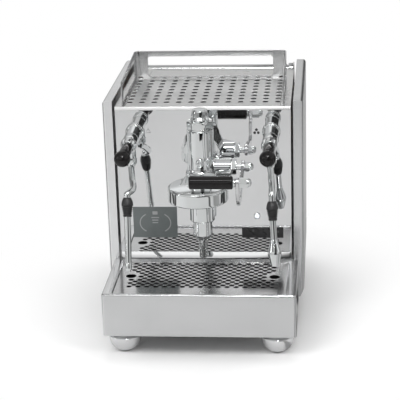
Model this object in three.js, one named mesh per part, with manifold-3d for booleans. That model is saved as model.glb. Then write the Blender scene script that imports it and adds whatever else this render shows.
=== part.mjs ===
// Espresso machine with a lever group: steel housing, lever-worked brew group,
// steam and hot water valves with swivel wands, drip drawer and cup rack.
// Millimetres, +Z up, the front faces -Y, origin on the floor under the middle.
import * as THREE from 'three';
import { mergeVertices } from 'three/addons/utils/BufferGeometryUtils.js';
import Module from 'manifold-3d';

const wasm = await Module();
wasm.setup();

// Driving dimensions of the whole machine; reach is measured forward, setback backward, from the face
const clearance = 0.3;
const overrun = 5;
const sheet = 1.5;
const width = 290;
const bodyDepth = 256;
const bodyTop = 336;

// Side panels, folded trays
const side = {
  thickness: 17, bottom: 34, edge: 14.5, bend: 4.5, bendSteps: 3, lowerIn: 6, lowerUp: 12, lip: 24,
};
const sideInner = width / 2 - side.thickness;

// Base pan and feet
const foot = { height: 29, radius: 25.5, sideInset: 36, frontInset: 20, rearInset: 28, sides: 14 };
const footShares = [[0.6, 0], [0.76, 0.24], [0.92, 0.5], [1, 0.76], [1, 0.9], [0.86, 1]];
const pad = { height: 2.7, radius: 14 };
const pan = {
  thickness: 2, reach: 136, halfWidth: sideInner - clearance, flange: 28, flangeInset: 4.5, rearInset: 0.5,
};
const panTop = foot.height + pan.thickness;

// Top cover with a ledge at its back, and the seats for the tank lid and the cup plate
const cover = { sideGap: 1.1, top: 328, thickness: 3, nose: 0.2, ledge: 30, drop: 13.5, rearInset: 0.5 };
const coverHalf = sideInner - cover.sideGap;
const coverDepth = bodyDepth - cover.ledge;
const ears = { thickness: 1.6, halfDepth: 11, height: 333 };
const lidPlace = { sideInset: 28.6, rearInset: 8, length: 50 };
const lidBack = coverDepth - lidPlace.rearInset;
const lidFront = lidBack - lidPlace.length;
const lidSeat = { halfWidth: coverHalf - lidPlace.sideInset, front: lidFront, back: lidBack };
const fingerHole = { radius: 9, sides: 12 };
const platePlace = { sideInset: 14.6, front: 3, lidGap: 9.7 };
const plateSeat = {
  halfWidth: coverHalf - platePlace.sideInset, front: platePlace.front, back: lidFront - platePlace.lidGap,
};
const seatEdge = { depth: 1.5, lip: 1.2, frontLip: 9, lidLip: 3 };
const cupHoles = { pitch: 18, radius: 3.3, sides: 4, firstRow: 26, margin: 4.2 };
const cupColumnsPerSide = Math.floor((plateSeat.halfWidth - cupHoles.margin) / cupHoles.pitch);
const cupRows = 1 + Math.floor((plateSeat.back - cupHoles.firstRow - cupHoles.margin) / cupHoles.pitch);

// Cup rail round the cup plate, and the bar over the ledge
const railGap = { side: 4.7, back: 3.7 };
const railRise = { back: 45, front: 35, slot: 5 };
const rail = {
  halfWidth: plateSeat.halfWidth + railGap.side, back: plateSeat.back + railGap.back,
  top: cover.top + railRise.back, frontTop: cover.top + railRise.front, front: 6, corner: 8, cornerSteps: 3,
};
const railSlot = { sideInset: 19, bottom: cover.top + railRise.slot, band: 7, post: 12, backPost: 14 };
const rearBar = { radius: 7.3, collarRadius: 9.3, collar: 7, ledgeShare: 0.4667, height: 324.5, sides: 16 };
const rearBarSetback = coverDepth + rearBar.ledgeShare * cover.ledge;

// Front panel, the strip at its foot and the pilot light
const face = { setback: 2 };
const strip = { bottom: 95.3, height: 9.2, reach: 0.9, corner: 4, cornerSteps: 3 };
const pilot = {
  sideInset: 68.3, height: 161.2, radius: 4, flange: 5.6, flangeDepth: 1.6, dome: 1.8, stem: 12, sides: 12,
};

// Drip drawer, tub and grate
const drawer = {
  sideInset: 8.25, reach: 141, back: 0.6, top: 94.6, sideFlange: 14.6, frontFlange: 6, backFlange: 9,
};
const drawerHalf = width / 2 - drawer.sideInset;
const drawerOpen = drawerHalf - drawer.sideFlange;
const drawerEdge = { corner: 5, cornerSteps: 3, backDrop: 4 };
const tub = { wall: 1.2, top: 90.6 };
const grate = {
  thickness: 1.5, pitch: 12.75, rowPitch: 6.25, firstRow: 17.5, radius: 3.1, sides: 4, sideMargin: 15,
  frontMargin: 30,
};
const grateColumnsPerSide = Math.floor((drawerOpen - grate.sideMargin) / grate.pitch);
const grateRows = 1 + Math.floor((drawer.reach - grate.frontMargin - grate.firstRow) / grate.rowPitch);
const cupDrain = { sideInset: 18.15, reach: 66, radius: 7.3, sides: 12, margin: 4.5 };
const cupDrainX = drawerOpen - cupDrain.sideInset;

// Rear panel, mains inlet and rocker switch
const back = { inset: 1.5, vents: 9, ventPitch: 9, ventHeight: 4, ventInset: 57, ventTop: 292 };
const inlet = {
  sideInset: 42.9, z: 62, halfWidth: 14, halfHeight: 10, depth: 22, rim: 3, rimDepth: 1.2, wall: 2,
  cavity: 16,
};
const pin = { spread: 7, halfWidth: 1, halfHeight: 2, length: 12, earthDrop: 3, lineRise: 2 };
const rocker = {
  sideInset: 80.9, z: 62, halfWidth: 6.5, halfHeight: 11, depth: 14, rim: 2.5, rimDepth: 1.2, wall: 1.6,
  tilt: 0.14,
};

// Water tank, and the room in front of it for the boiler, the pump and the electrics
const tank = { sideInset: 36, frontInset: 60, backInset: 4, top: 316, wall: 2.5 };
const tankHalf = sideInner - tank.sideInset;
const tankFront = coverDepth - tank.frontInset;
const tankBack = coverDepth - tank.backInset;
const boiler = { radiusShare: 0.3012, setbackShare: 0.5843, sideInset: 36, dome: 14, z: 200, sides: 20 };
const boilerRadius = boiler.radiusShare * tankFront;
const boilerSetback = boiler.setbackShare * tankFront;
const boilerHalf = sideInner - boiler.sideInset;
const endFlange = { radiusShare: 0.68, thickness: 8 };
const relief = { offsetShare: 0.4348, radius: 8, height: 26, capRadius: 11, cap: 8, sides: 12 };
const cradle = { endInset: 32, thickness: 10, depthShare: 0.72, heightShare: 0.4 };
const element = { radius: 19, sides: 12, depth: 5, tagHalf: 2.5, tag: 5, tagSpread: 8 };
const pump = {
  setbackShare: 0.506, lengthShare: 0.6988, sideInset: 32,
  z: 66, coilHalf: 24, coilLength: 50, tubeRadius: 11, sides: 10,
};
const pumpSetback = pump.setbackShare * tankFront;
const pumpLength = pump.lengthShare * tankFront;
const pumpX = pump.sideInset - sideInner;
const pumpFoot = { halfWidth: 17, halfLength: 20 };
const electrics = { sideInset: 32, halfWidth: 24, frontShare: 0.205, backShare: 0.711, height: 46 };
const mountPlate = { valveMargin: 17, legHalf: 40, thickness: 4, bottom: 240, top: 321, foot: 30 };
const pipe = {
  radius: 4, sides: 8, steps: 8, tapInset: 22, rise: 26, bow: 18, groupX: 14, groupOffset: 7, drop: 9,
};

// Brew group: casting, bell, cap, cam gland and chambers
const group = { reach: 39, barrelRadius: 30, barrelZ: 268, radius: 19, top: 306, sides: 24 };
const spigot = { radius: 14, length: 14 };
const bell = {
  reach: 94, radius: 42.3, top: 240, bottom: 219, edge: 3, crown: 3, crownRadius: 30, bore: 36, depth: 13,
};
const neck = { halfWidth: 21, top: 243, bottom: 222 };
const bayonet = { depth: 3.2, height: 3.5, gapHalf: 17 };
const plug = { z: 261.5, bossRadius: 11, bossReach: 21.5, radius: 8.5, depth: 3, dome: 1.4, sides: 16 };
const cap = { radius: 18.2, ring: 12.5, bevel: 1.2, hexRadius: 12.5, hex: 16.5, hexSides: 6 };
const cam = {
  z: 250, bossRadius: 13.5, bossEnd: 43.7, radius: 4.5, bore: 5, boreStart: 10, nutRadius: 10, nut: 7,
  sides: 12,
};
const lobe = { start: 11, end: 26, radius: 3.2, offset: 1.2 };
const lower = {
  radius: 18, bottom: 170, narrow: 13.7, narrowBottom: 148, tip: 9, tipBottom: 141, bevel: 1.2,
};
const spout = {
  collar: 8.2, collarLength: 4, radius: 6, bottom: 112.5, bore: 3.6, boreDepth: 24, sides: 12,
};
const screen = { radius: 28.6, thickness: 2, sides: 24 };
const gasket = { inner: 29.2, outer: 35.7, height: 7 };
const clampNut = { radius: 21, length: 6, sides: 6 };

// Lever
const lever = { x: 60, thickness: 5, halfWidth: 5.5, hub: 9, gripReach: 131, gripRise: 19.5, sides: 14 };
const armReachShares = [0, 0.38, 0.7, 0.86, 0.97, 1];
const armRiseShares = [0, -0.37, -0.85, -0.64, 0.28, 1];
const armSteps = 12;
const grip = {
  radius: 9, length: 65, edge: 1.5, spacer: 3.2, spacerRadius: 6, bolt: 3, bore: 3.3, sink: 30, sides: 16,
};
const acorn = {
  radius: 7, length: 6.5, longLength: 10.7, dome: 5.5, domeRadius: 5.6, tipRadius: 2.6, sides: 6,
  domeSides: 12,
};

// Steam and hot water valves with their joysticks
const valve = {
  widthShare: 0.34138, z: 290, flangeRadius: 13.2, flange: 4, radius: 11, reach: 62, stem: 9,
  stemDepth: 30, sides: 16,
};
const valveX = valve.widthShare * width;
const ring = { radius: 11.6, length: 16, bevel: 2.6, wall: 2, cavity: 7, mouth: 9 };
const stick = {
  pivotReach: 72, pivotRadius: 6.2, stalk: 2.6, neckReach: 80, neckStart: 6.6, neck: 8.3, taper: 4,
  neckEnd: 112, neckBevel: 2,
};
const knob = { reach: 129, radius: 10.9, throat: 5.4, seatReach: 121, bands: 6, sides: 14 };
const socket = { reach: 50, radius: 8, bottom: 258.5, cup: 6.9, flare: 9, flareHeight: 8 };

// Wands
const swivel = { radius: 6.5, drop: 34, bands: 6, sides: 12 };
const wand = { radius: 4.6, sides: 8, steps: 8, blend: 3 };
const steamPath = { knuckle: [7, 39, 233.5], start: [-0.5, 47, 228], end: [1.7, 79, 138], lead: 4.5 };
const waterPath = { knuckle: [3.5, 38, 234], start: [3.3, 45, 226], end: [6.4, 61.5, 168], lead: 8 };
const sleeve = { length: 27, ribs: 5, radius: 8.3, valley: 7.6, endRadius: 6, bore: 5.1, sides: 12 };
const ribShares = [0.2, 0.6];
const steamTip = { radius: 5, nose: 3.2, length: 12, bore: 1.4, boreDepth: 9, sides: 12 };
const waterTip = {
  length: 38, radius: 9.8, endRadius: 5.5, topRadius: 5.4, swellShare: 0.52, bore: 3, boreDepth: 30,
  sides: 12,
};

// The front-most point is the grip, and half the whole depth lies on either side of the origin
const frontReach = group.reach + lever.gripReach + grip.radius;
const faceY = (frontReach - bodyDepth) / 2;

// Materials
function steel(color, roughness) {
  return new THREE.MeshStandardMaterial({ color, roughness, metalness: 1 });
}

function dull(color, roughness) {
  return new THREE.MeshStandardMaterial({ color, roughness, metalness: 0 });
}

const polished = steel(0xc9cbcc, 0.12);
const brushed = steel(0xb9bbbc, 0.32);
const chrome = steel(0xdfe2e3, 0.05);
const copper = steel(0xb5653a, 0.35);
const brass = steel(0xb9975b, 0.35);
const bakelite = dull(0x121212, 0.25);
const rubberBlack = dull(0x17181a, 0.7);
const plasticGrey = dull(0x8d9296, 0.55);
const plasticClear = dull(0xd5dde0, 0.2);
const plasticBlack = dull(0x1c1c1e, 0.5);
const lamp = dull(0xf4f8ff, 0.2);

// Solids from closed meshes, and back
function solid(geometry) {
  const plain = geometry.clone();
  plain.deleteAttribute('normal');
  plain.deleteAttribute('uv');
  const merged = mergeVertices(plain);
  const index = merged.index.array;
  const kept = [];
  for (let i = 0; i < index.length; i += 3) {
    const [a, b, c] = [index[i], index[i + 1], index[i + 2]];
    if (a !== b && b !== c && c !== a) kept.push(a, b, c);
  }
  return new wasm.Manifold(new wasm.Mesh({
    numProp: 3,
    vertProperties: new Float32Array(merged.attributes.position.array),
    triVerts: new Uint32Array(kept),
  }));
}

function geometryOf(body) {
  const mesh = body.getMesh();
  const geometry = new THREE.BufferGeometry();
  geometry.setAttribute('position', new THREE.BufferAttribute(new Float32Array(mesh.vertProperties), 3));
  geometry.setIndex(new THREE.BufferAttribute(new Uint32Array(mesh.triVerts), 1));
  geometry.computeVertexNormals();
  return geometry;
}

function join(...geometries) {
  return geometryOf(geometries.map(solid).reduce((all, next) => all.add(next)));
}

function cut(base, ...tools) {
  return geometryOf(tools.map(solid).reduce((all, next) => all.subtract(next), solid(base)));
}

function common(base, other) {
  return geometryOf(solid(base).intersect(solid(other)));
}

// Basic forms
function box(x0, x1, y0, y1, z0, z1) {
  const geometry = new THREE.BoxGeometry(x1 - x0, y1 - y0, z1 - z0);
  return geometry.translate((x0 + x1) / 2, (y0 + y1) / 2, (z0 + z1) / 2);
}

// A profile of [radius, height] points turned round the Z axis, outer side going up
function turned(profile, sides) {
  const points = profile.map(([r, z]) => new THREE.Vector2(r, z));
  return new THREE.LatheGeometry(points, sides).rotateX(Math.PI / 2);
}

function rod(radius, z0, z1, sides) {
  return turned([[0, z0], [radius, z0], [radius, z1], [0, z1]], sides);
}

function ringOutline(points) {
  return [...points, points[0]];
}

// A turned form laid along X, its height becoming x, or along -Y, its height going forward
function alongX(geometry) {
  return geometry.rotateY(Math.PI / 2);
}

function forward(geometry) {
  return geometry.rotateX(Math.PI / 2);
}

function move(geometry, x, y, z) {
  return geometry.translate(x, y, z);
}

// A rectangle with rounded corners, as an outline
function roundedRect(shape, x0, x1, y0, y1, r) {
  shape.moveTo(x0 + r, y0);
  shape.lineTo(x1 - r, y0);
  shape.absarc(x1 - r, y0 + r, r, -Math.PI / 2, 0);
  shape.lineTo(x1, y1 - r);
  shape.absarc(x1 - r, y1 - r, r, 0, Math.PI / 2);
  shape.lineTo(x0 + r, y1);
  shape.absarc(x0 + r, y1 - r, r, Math.PI / 2, Math.PI);
  shape.lineTo(x0, y0 + r);
  shape.absarc(x0 + r, y0 + r, r, Math.PI, 1.5 * Math.PI);
  return shape;
}

function polygonPath(path, cx, cy, radius, sides, turnShare = 0) {
  for (let i = 0; i < sides; i += 1) {
    const angle = 2 * Math.PI * (i + turnShare) / sides;
    const [x, y] = [cx + radius * Math.cos(angle), cy + radius * Math.sin(angle)];
    if (i === 0) path.moveTo(x, y);
    else path.lineTo(x, y);
  }
  path.closePath();
  return path;
}

function polygon(points) {
  return new THREE.Shape(points.map(([x, y]) => new THREE.Vector2(x, y)));
}

// Outlines drawn in X-Y and raised along Z, in Y-Z and pushed along X, in X-Z and pushed along Y
function raised(shape, z0, z1, curveSegments = 1) {
  const options = { depth: z1 - z0, bevelEnabled: false, curveSegments };
  return new THREE.ExtrudeGeometry(shape, options).translate(0, 0, z0);
}

function acrossX(shape, x0, x1, curveSegments = 1) {
  const turn = new THREE.Matrix4().set(0, 0, 1, 0, 1, 0, 0, 0, 0, 1, 0, 0, 0, 0, 0, 1);
  return raised(shape, x0, x1, curveSegments).applyMatrix4(turn);
}

function acrossY(shape, y0, y1, curveSegments = 1) {
  return raised(shape, -y1, -y0, curveSegments).rotateX(Math.PI / 2);
}

// A round tube along points, ends square to the path
function tube(points, radius, sides, steps) {
  const path = new THREE.CatmullRomCurve3(points.map(([x, y, z]) => new THREE.Vector3(x, y, z)));
  const section = polygonPath(new THREE.Shape(), 0, 0, radius, sides);
  return new THREE.ExtrudeGeometry(section, { steps, extrudePath: path, bevelEnabled: false });
}

const machine = new THREE.Group();
machine.name = 'espresso_machine';

function piece(name, geometry, material, parent = machine) {
  const mesh = new THREE.Mesh(geometryOf(solid(geometry)), material);
  mesh.name = name;
  parent.add(mesh);
  return mesh;
}

// A place measured forward or backward from the face
function ahead(reach) {
  return faceY - reach;
}

function behind(setback) {
  return faceY + setback;
}

function mirrored(geometry) {
  const other = geometry.clone().scale(-1, 1, 1);
  const index = other.index ? other.index.array : null;
  const plain = index ? other.toNonIndexed() : other;
  const places = plain.attributes.position;
  for (let i = 0; i < places.count; i += 3) {
    const [x, y, z] = [places.getX(i), places.getY(i), places.getZ(i)];
    places.setXYZ(i, places.getX(i + 1), places.getY(i + 1), places.getZ(i + 1));
    places.setXYZ(i + 1, x, y, z);
  }
  return plain;
}

// Base pan with side flanges that carry the side panels
function basePan() {
  const floor = box(
    -pan.halfWidth, pan.halfWidth, ahead(pan.reach), behind(bodyDepth - pan.rearInset), foot.height,
    panTop,
  );
  const [near, far] = [behind(pan.flangeInset), behind(bodyDepth - pan.flangeInset)];
  const wall = box(pan.halfWidth - sheet, pan.halfWidth, near, far, foot.height, panTop + pan.flange);
  return join(floor, wall, mirrored(wall));
}

// Four bowl-shaped feet, each with a pad below
function footPlaces() {
  const [near, far] = [ahead(pan.reach - foot.frontInset), behind(bodyDepth - foot.rearInset)];
  const x = width / 2 - foot.sideInset;
  return { front_left: [-x, near], front_right: [x, near], rear_left: [-x, far], rear_right: [x, far] };
}

function footCup() {
  const rise = foot.height - clearance - pad.height;
  const outline = footShares.map(([r, z]) => [r * foot.radius, pad.height + z * rise]);
  const top = pad.height + rise;
  return turned([[0, 0], [pad.radius, 0], [pad.radius, pad.height], ...outline, [0, top]], foot.sides);
}

// Right side panel, a folded tray open to the inside; the left one is its mirror image
function sidePanel() {
  const [outer, inner] = [width / 2, sideInner];
  const { bottom, bend, lowerIn, lowerUp } = side;
  const section = new THREE.Shape();
  section.moveTo(inner, bottom);
  section.lineTo(outer - lowerIn, bottom);
  section.lineTo(outer, bottom + lowerUp);
  section.absarc(outer - bend, bodyTop - bend, bend, 0, Math.PI / 2);
  section.lineTo(inner, bodyTop);
  const [near, far] = [behind(0), behind(bodyDepth)];
  const plan = new THREE.Shape();
  plan.moveTo(inner, near);
  plan.lineTo(outer - bend, near);
  plan.absarc(outer - bend, near + bend, bend, -Math.PI / 2, 0);
  plan.absarc(outer - bend, far - bend, bend, 0, Math.PI / 2);
  plan.lineTo(inner, far);
  const block = common(
    acrossY(section, near, far, side.bendSteps), raised(plan, bottom, bodyTop, side.bendSteps),
  );
  const hollow = box(
    inner + sheet, outer - sheet, near + sheet, far - sheet, bottom + sheet, bodyTop - sheet,
  );
  const mouth = box(
    inner - overrun, outer - side.edge, near - overrun, far + overrun, bottom + side.lip,
    bodyTop + overrun,
  );
  return cut(block, hollow, mouth);
}

// Top cover: one plate with a seat for the cup plate and one for the tank lid, stepped down at the back
function seat({ halfWidth, front, back: far }, lip, frontLip, bottom) {
  const shelf = box(
    -halfWidth, halfWidth, behind(front), behind(far), cover.top - seatEdge.depth, cover.top + overrun,
  );
  const hole = box(
    lip - halfWidth, halfWidth - lip, behind(front + frontLip), behind(far - lip), bottom, cover.top,
  );
  return [shelf, hole];
}

function topCover() {
  const [near, step, far] = [behind(cover.nose), behind(coverDepth), behind(bodyDepth - cover.rearInset)];
  const [bottom, low] = [cover.top - cover.thickness, cover.top - cover.drop];
  const plate = box(-coverHalf, coverHalf, near, step, bottom, cover.top);
  const riser = box(-coverHalf, coverHalf, step - cover.thickness, step, low - cover.thickness, cover.top);
  const ledge = box(-coverHalf, coverHalf, step - cover.thickness, far, low - cover.thickness, low);
  const middle = behind(rearBarSetback);
  const [earNear, earFar] = [middle - ears.halfDepth, middle + ears.halfDepth];
  const ear = box(
    coverHalf - ears.thickness, coverHalf, earNear, earFar, low - cover.thickness, ears.height,
  );
  const below = bottom - overrun;
  const lidCuts = seat(lidSeat, seatEdge.lidLip, seatEdge.lidLip, below);
  const plateCuts = seat(plateSeat, seatEdge.lip, seatEdge.frontLip, below);
  return cut(join(plate, riser, ledge, ear, mirrored(ear)), ...lidCuts, ...plateCuts);
}

function cupPlate() {
  const [near, far] = [behind(plateSeat.front + clearance), behind(plateSeat.back - clearance)];
  const reach = plateSeat.halfWidth - clearance;
  const outline = polygon([[-reach, near], [reach, near], [reach, far], [-reach, far]]);
  for (let row = 0; row < cupRows; row += 1) {
    for (let column = -cupColumnsPerSide; column <= cupColumnsPerSide; column += 1) {
      const x = column * cupHoles.pitch;
      const y = behind(cupHoles.firstRow + row * cupHoles.pitch);
      outline.holes.push(polygonPath(new THREE.Path(), x, y, cupHoles.radius, cupHoles.sides));
    }
  }
  return raised(outline, cover.top - seatEdge.depth + clearance, cover.top);
}

function tankLid() {
  const [near, far] = [behind(lidSeat.front + clearance), behind(lidSeat.back - clearance)];
  const reach = lidSeat.halfWidth - clearance;
  const outline = polygon([[-reach, near], [reach, near], [reach, far], [-reach, far]]);
  const middle = (near + far) / 2;
  outline.holes.push(polygonPath(new THREE.Path(), 0, middle, fingerHole.radius, fingerHole.sides));
  return raised(outline, cover.top - seatEdge.depth + clearance, cover.top);
}

// Cup rail: a strip of sheet bent round the back and both sides, with long slots
function railOutline(inset) {
  const [x, near, far] = [rail.halfWidth - inset, behind(rail.front), behind(rail.back) - inset];
  const r = rail.corner - inset;
  const shape = new THREE.Shape();
  shape.moveTo(x, near);
  shape.lineTo(x, far - r);
  shape.absarc(x - r, far - r, r, 0, Math.PI / 2);
  shape.absarc(r - x, far - r, r, Math.PI / 2, Math.PI);
  shape.lineTo(-x, near);
  return shape;
}

function cupRail() {
  const bottom = cover.top + clearance;
  const outer = raised(railOutline(0), bottom, rail.top, rail.cornerSteps);
  const inner = raised(railOutline(sheet), bottom - overrun, rail.top + overrun, rail.cornerSteps);
  const [near, far] = [behind(rail.front), behind(rail.back)];
  const across = rail.halfWidth + overrun;
  const crest = [[near, rail.frontTop], [far - rail.corner, rail.top], [near, rail.top]];
  const slopeCut = acrossX(
    polygon([[near - overrun, rail.frontTop], ...crest.slice(1), [near - overrun, rail.top]]), -across,
    across,
  );
  const mouth = box(
    -rail.halfWidth + sheet, rail.halfWidth - sheet, near - overrun, near + overrun, bottom - overrun,
    rail.top,
  );
  const backTop = rail.top - railSlot.band;
  const backHalf = rail.halfWidth - railSlot.sideInset;
  const backSlot = box(-backHalf, backHalf, far - rail.corner, far + overrun, railSlot.bottom, backTop);
  const [slotNear, slotFar] = [near + railSlot.post, far - railSlot.backPost];
  const slope = (rail.top - rail.frontTop) / (far - rail.corner - near);
  const topAt = (y) => rail.frontTop - railSlot.band + slope * (y - near);
  const sideShape = polygon([
    [slotNear, railSlot.bottom], [slotFar, railSlot.bottom],
    [slotFar, topAt(slotFar)], [slotNear, topAt(slotNear)],
  ]);
  return cut(outer, inner, mouth, slopeCut, backSlot, acrossX(sideShape, -across, across));
}

// Chromed bar between the ears at the back of the cover, a collar at either end
function rearGripBar() {
  const end = coverHalf - ears.thickness - clearance;
  const { radius, collarRadius, collar, sides } = rearBar;
  const profile = [
    [0, -end], [collarRadius, -end], [collarRadius, collar - end], [radius, collar - end],
    [radius, end - collar], [collarRadius, end - collar], [collarRadius, end], [0, end],
  ];
  return move(alongX(turned(profile, sides)), 0, behind(rearBarSetback), rearBar.height);
}

// Holes that the group and both valves pass through, as x, z and the radius of what passes
function mountingHoles() {
  return [[0, group.barrelZ, spigot.radius], [valveX, valve.z, valve.stem], [-valveX, valve.z, valve.stem]];
}

function pierce(outline, holes) {
  for (const [x, z, radius] of holes) {
    outline.holes.push(polygonPath(new THREE.Path(), x, z, radius + 2 * clearance, valve.sides));
  }
}

// Polished front panel with holes for the group, the valves and the pilot light
function frontPanel() {
  const near = behind(face.setback);
  const [bottom, top] = [panTop + clearance, cover.top - cover.thickness - clearance];
  const outline = polygon([[-coverHalf, bottom], [coverHalf, bottom], [coverHalf, top], [-coverHalf, top]]);
  const pilotHole = [width / 2 - pilot.sideInset, pilot.height, pilot.radius];
  pierce(outline, [...mountingHoles(), pilotHole]);
  return acrossY(outline, near, near + sheet);
}

function footStrip() {
  const [bottom, top, r] = [strip.bottom, strip.bottom + strip.height, strip.corner];
  const shape = new THREE.Shape();
  shape.moveTo(-coverHalf, top);
  shape.lineTo(-coverHalf, bottom + r);
  shape.absarc(r - coverHalf, bottom + r, r, Math.PI, 1.5 * Math.PI);
  shape.absarc(coverHalf - r, bottom + r, r, -Math.PI / 2, 0);
  shape.lineTo(coverHalf, top);
  return acrossY(shape, ahead(strip.reach), behind(face.setback - clearance), strip.cornerSteps);
}

function pilotLight() {
  const { radius, flange, flangeDepth, dome, stem, sides } = pilot;
  const root = -face.setback + clearance;
  const profile = [
    [0, -stem], [radius, -stem], [radius, root], [flange, root], [flange, root + flangeDepth],
    [radius, root + flangeDepth], [radius / 2, root + flangeDepth + dome], [0, root + flangeDepth + dome],
  ];
  return move(forward(turned(profile, sides)), width / 2 - pilot.sideInset, faceY, pilot.height);
}

// Drip drawer: a sheet housing with broad flanges round the opening that the tub hangs in
function dripHousing() {
  const { reach, top } = drawer;
  const [halfWidth, r] = [drawerHalf, drawerEdge.corner];
  const [near, far] = [ahead(reach), ahead(drawer.back)];
  const bottom = panTop + clearance;
  const plan = new THREE.Shape();
  plan.moveTo(halfWidth, far);
  plan.lineTo(-halfWidth, far);
  plan.absarc(r - halfWidth, near + r, r, Math.PI, 1.5 * Math.PI);
  plan.absarc(halfWidth - r, near + r, r, -Math.PI / 2, 0);
  const block = raised(plan, bottom, top, drawerEdge.cornerSteps);
  const hollowTop = top - sheet - drawerEdge.backDrop;
  const hollow = box(
    sheet - halfWidth, halfWidth - sheet, near + sheet, far - sheet, bottom + sheet, hollowTop,
  );
  const open = drawerOpen;
  const mouth = box(
    -open, open, near + drawer.frontFlange, far - drawer.backFlange, bottom + sheet, top + overrun,
  );
  const backNotch = box(
    -open, open, far - drawer.backFlange - overrun, far + overrun, top - drawerEdge.backDrop,
    top + overrun,
  );
  return cut(block, hollow, mouth, backNotch);
}

function tubPlan() {
  const open = drawerOpen - clearance;
  const near = ahead(drawer.reach - drawer.frontFlange - clearance);
  const far = ahead(drawer.back + drawer.backFlange + clearance);
  return { open, near, far };
}

function dripTub() {
  const { open, near, far } = tubPlan();
  const bottom = panTop + clearance + sheet + clearance;
  const w = tub.wall;
  const hollow = box(w - open, open - w, near + w, far - w, bottom + w, tub.top + overrun);
  return cut(box(-open, open, near, far, bottom, tub.top), hollow);
}

// Grate with staggered drain holes and two larger ones under the outlets
function dripGrate() {
  const { open, near, far } = tubPlan();
  const shape = polygon([[-open, near], [open, near], [open, far], [-open, far]]);
  for (const x of [-cupDrainX, cupDrainX]) {
    const drain = polygonPath(new THREE.Path(), x, ahead(cupDrain.reach), cupDrain.radius, cupDrain.sides);
    shape.holes.push(drain);
  }
  for (let row = 0; row < grateRows; row += 1) {
    const shift = (row % 2) / 2;
    for (let column = -grateColumnsPerSide; column <= grateColumnsPerSide - 2 * shift; column += 1) {
      const x = (column + shift) * grate.pitch;
      const reach = grate.firstRow + row * grate.rowPitch;
      const apart = Math.hypot(Math.abs(x) - cupDrainX, reach - cupDrain.reach);
      if (apart < cupDrain.radius + cupDrain.margin) continue;
      shape.holes.push(polygonPath(new THREE.Path(), x, ahead(reach), grate.radius, grate.sides));
    }
  }
  return raised(shape, tub.top + clearance, tub.top + clearance + grate.thickness);
}

// Rear panel with vent slots and openings for the inlet and the switch
function rearPanel() {
  const outside = behind(bodyDepth - back.inset);
  const [bottom, top] = [panTop + clearance, cover.top - cover.drop - cover.thickness - clearance];
  const sheetBody = box(-coverHalf, coverHalf, outside - sheet, outside, bottom, top);
  const cuts = [inlet, rocker].map(({ sideInset, z, halfWidth, halfHeight }) => {
    const x = coverHalf - sideInset;
    const [w, h] = [halfWidth + clearance, halfHeight + clearance];
    return box(x - w, x + w, outside - overrun, outside + overrun, z - h, z + h);
  });
  const ventHalf = coverHalf - back.ventInset;
  for (let i = 0; i < back.vents; i += 1) {
    const high = back.ventTop - i * back.ventPitch;
    cuts.push(box(-ventHalf, ventHalf, outside - overrun, outside + overrun, high - back.ventHeight, high));
  }
  return cut(sheetBody, ...cuts);
}

// A square body through the rear panel with a rim outside
function rimmedBlock({ sideInset, z, halfWidth, halfHeight, depth, rim, rimDepth }) {
  const x = coverHalf - sideInset;
  const outside = behind(bodyDepth - back.inset);
  const body = box(
    x - halfWidth, x + halfWidth, outside - depth, outside + clearance + rimDepth, z - halfHeight,
    z + halfHeight,
  );
  const [w, h] = [halfWidth + rim, halfHeight + rim];
  return join(body, box(x - w, x + w, outside + clearance, outside + clearance + rimDepth, z - h, z + h));
}

function mainsInlet() {
  const outside = behind(bodyDepth - back.inset);
  const { sideInset, z, halfWidth, halfHeight, wall, cavity } = inlet;
  const x = coverHalf - sideInset;
  const floor = outside - cavity;
  const [w, h] = [halfWidth - wall, halfHeight - wall];
  const hollow = box(x - w, x + w, floor, behind(bodyDepth) + overrun, z - h, z + h);
  const blades = [
    [-pin.spread, pin.lineRise], [0, -pin.earthDrop], [pin.spread, pin.lineRise],
  ].map(([dx, dz]) => {
    const [left, low] = [x + dx - pin.halfWidth, z + dz - pin.halfHeight];
    return box(
      left, left + 2 * pin.halfWidth, floor - clearance, floor + pin.length, low, low + 2 * pin.halfHeight,
    );
  });
  return join(cut(rimmedBlock(inlet), hollow), ...blades);
}

function switchFrame() {
  const outside = behind(bodyDepth - back.inset);
  const { sideInset, z, halfWidth, halfHeight, wall, depth } = rocker;
  const x = coverHalf - sideInset;
  const [w, h] = [halfWidth - wall, halfHeight - wall];
  const hollow = box(x - w, x + w, outside - depth + wall, behind(bodyDepth) + overrun, z - h, z + h);
  return cut(rimmedBlock(rocker), hollow);
}

// Rocker whose two faces slope away from the middle, so it tips within its frame
function switchRocker() {
  const { sideInset, z, halfWidth, halfHeight, wall, depth, tilt } = rocker;
  const x = coverHalf - sideInset;
  const h = (halfHeight - wall) * Math.cos(tilt) - 2 * clearance;
  const outer = behind(bodyDepth - back.inset) + rocker.rimDepth;
  const fall = h * Math.tan(tilt) + clearance;
  const [peak, base] = [outer - clearance, outer - depth / 2];
  const shape = polygon([
    [base, z - h / 2], [peak - 2 * fall, z - h], [peak - fall, z],
    [peak - 2 * fall, z + h], [base, z + h / 2],
  ]);
  const w = halfWidth - wall - clearance;
  return acrossX(shape, x - w, x + w);
}

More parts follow.
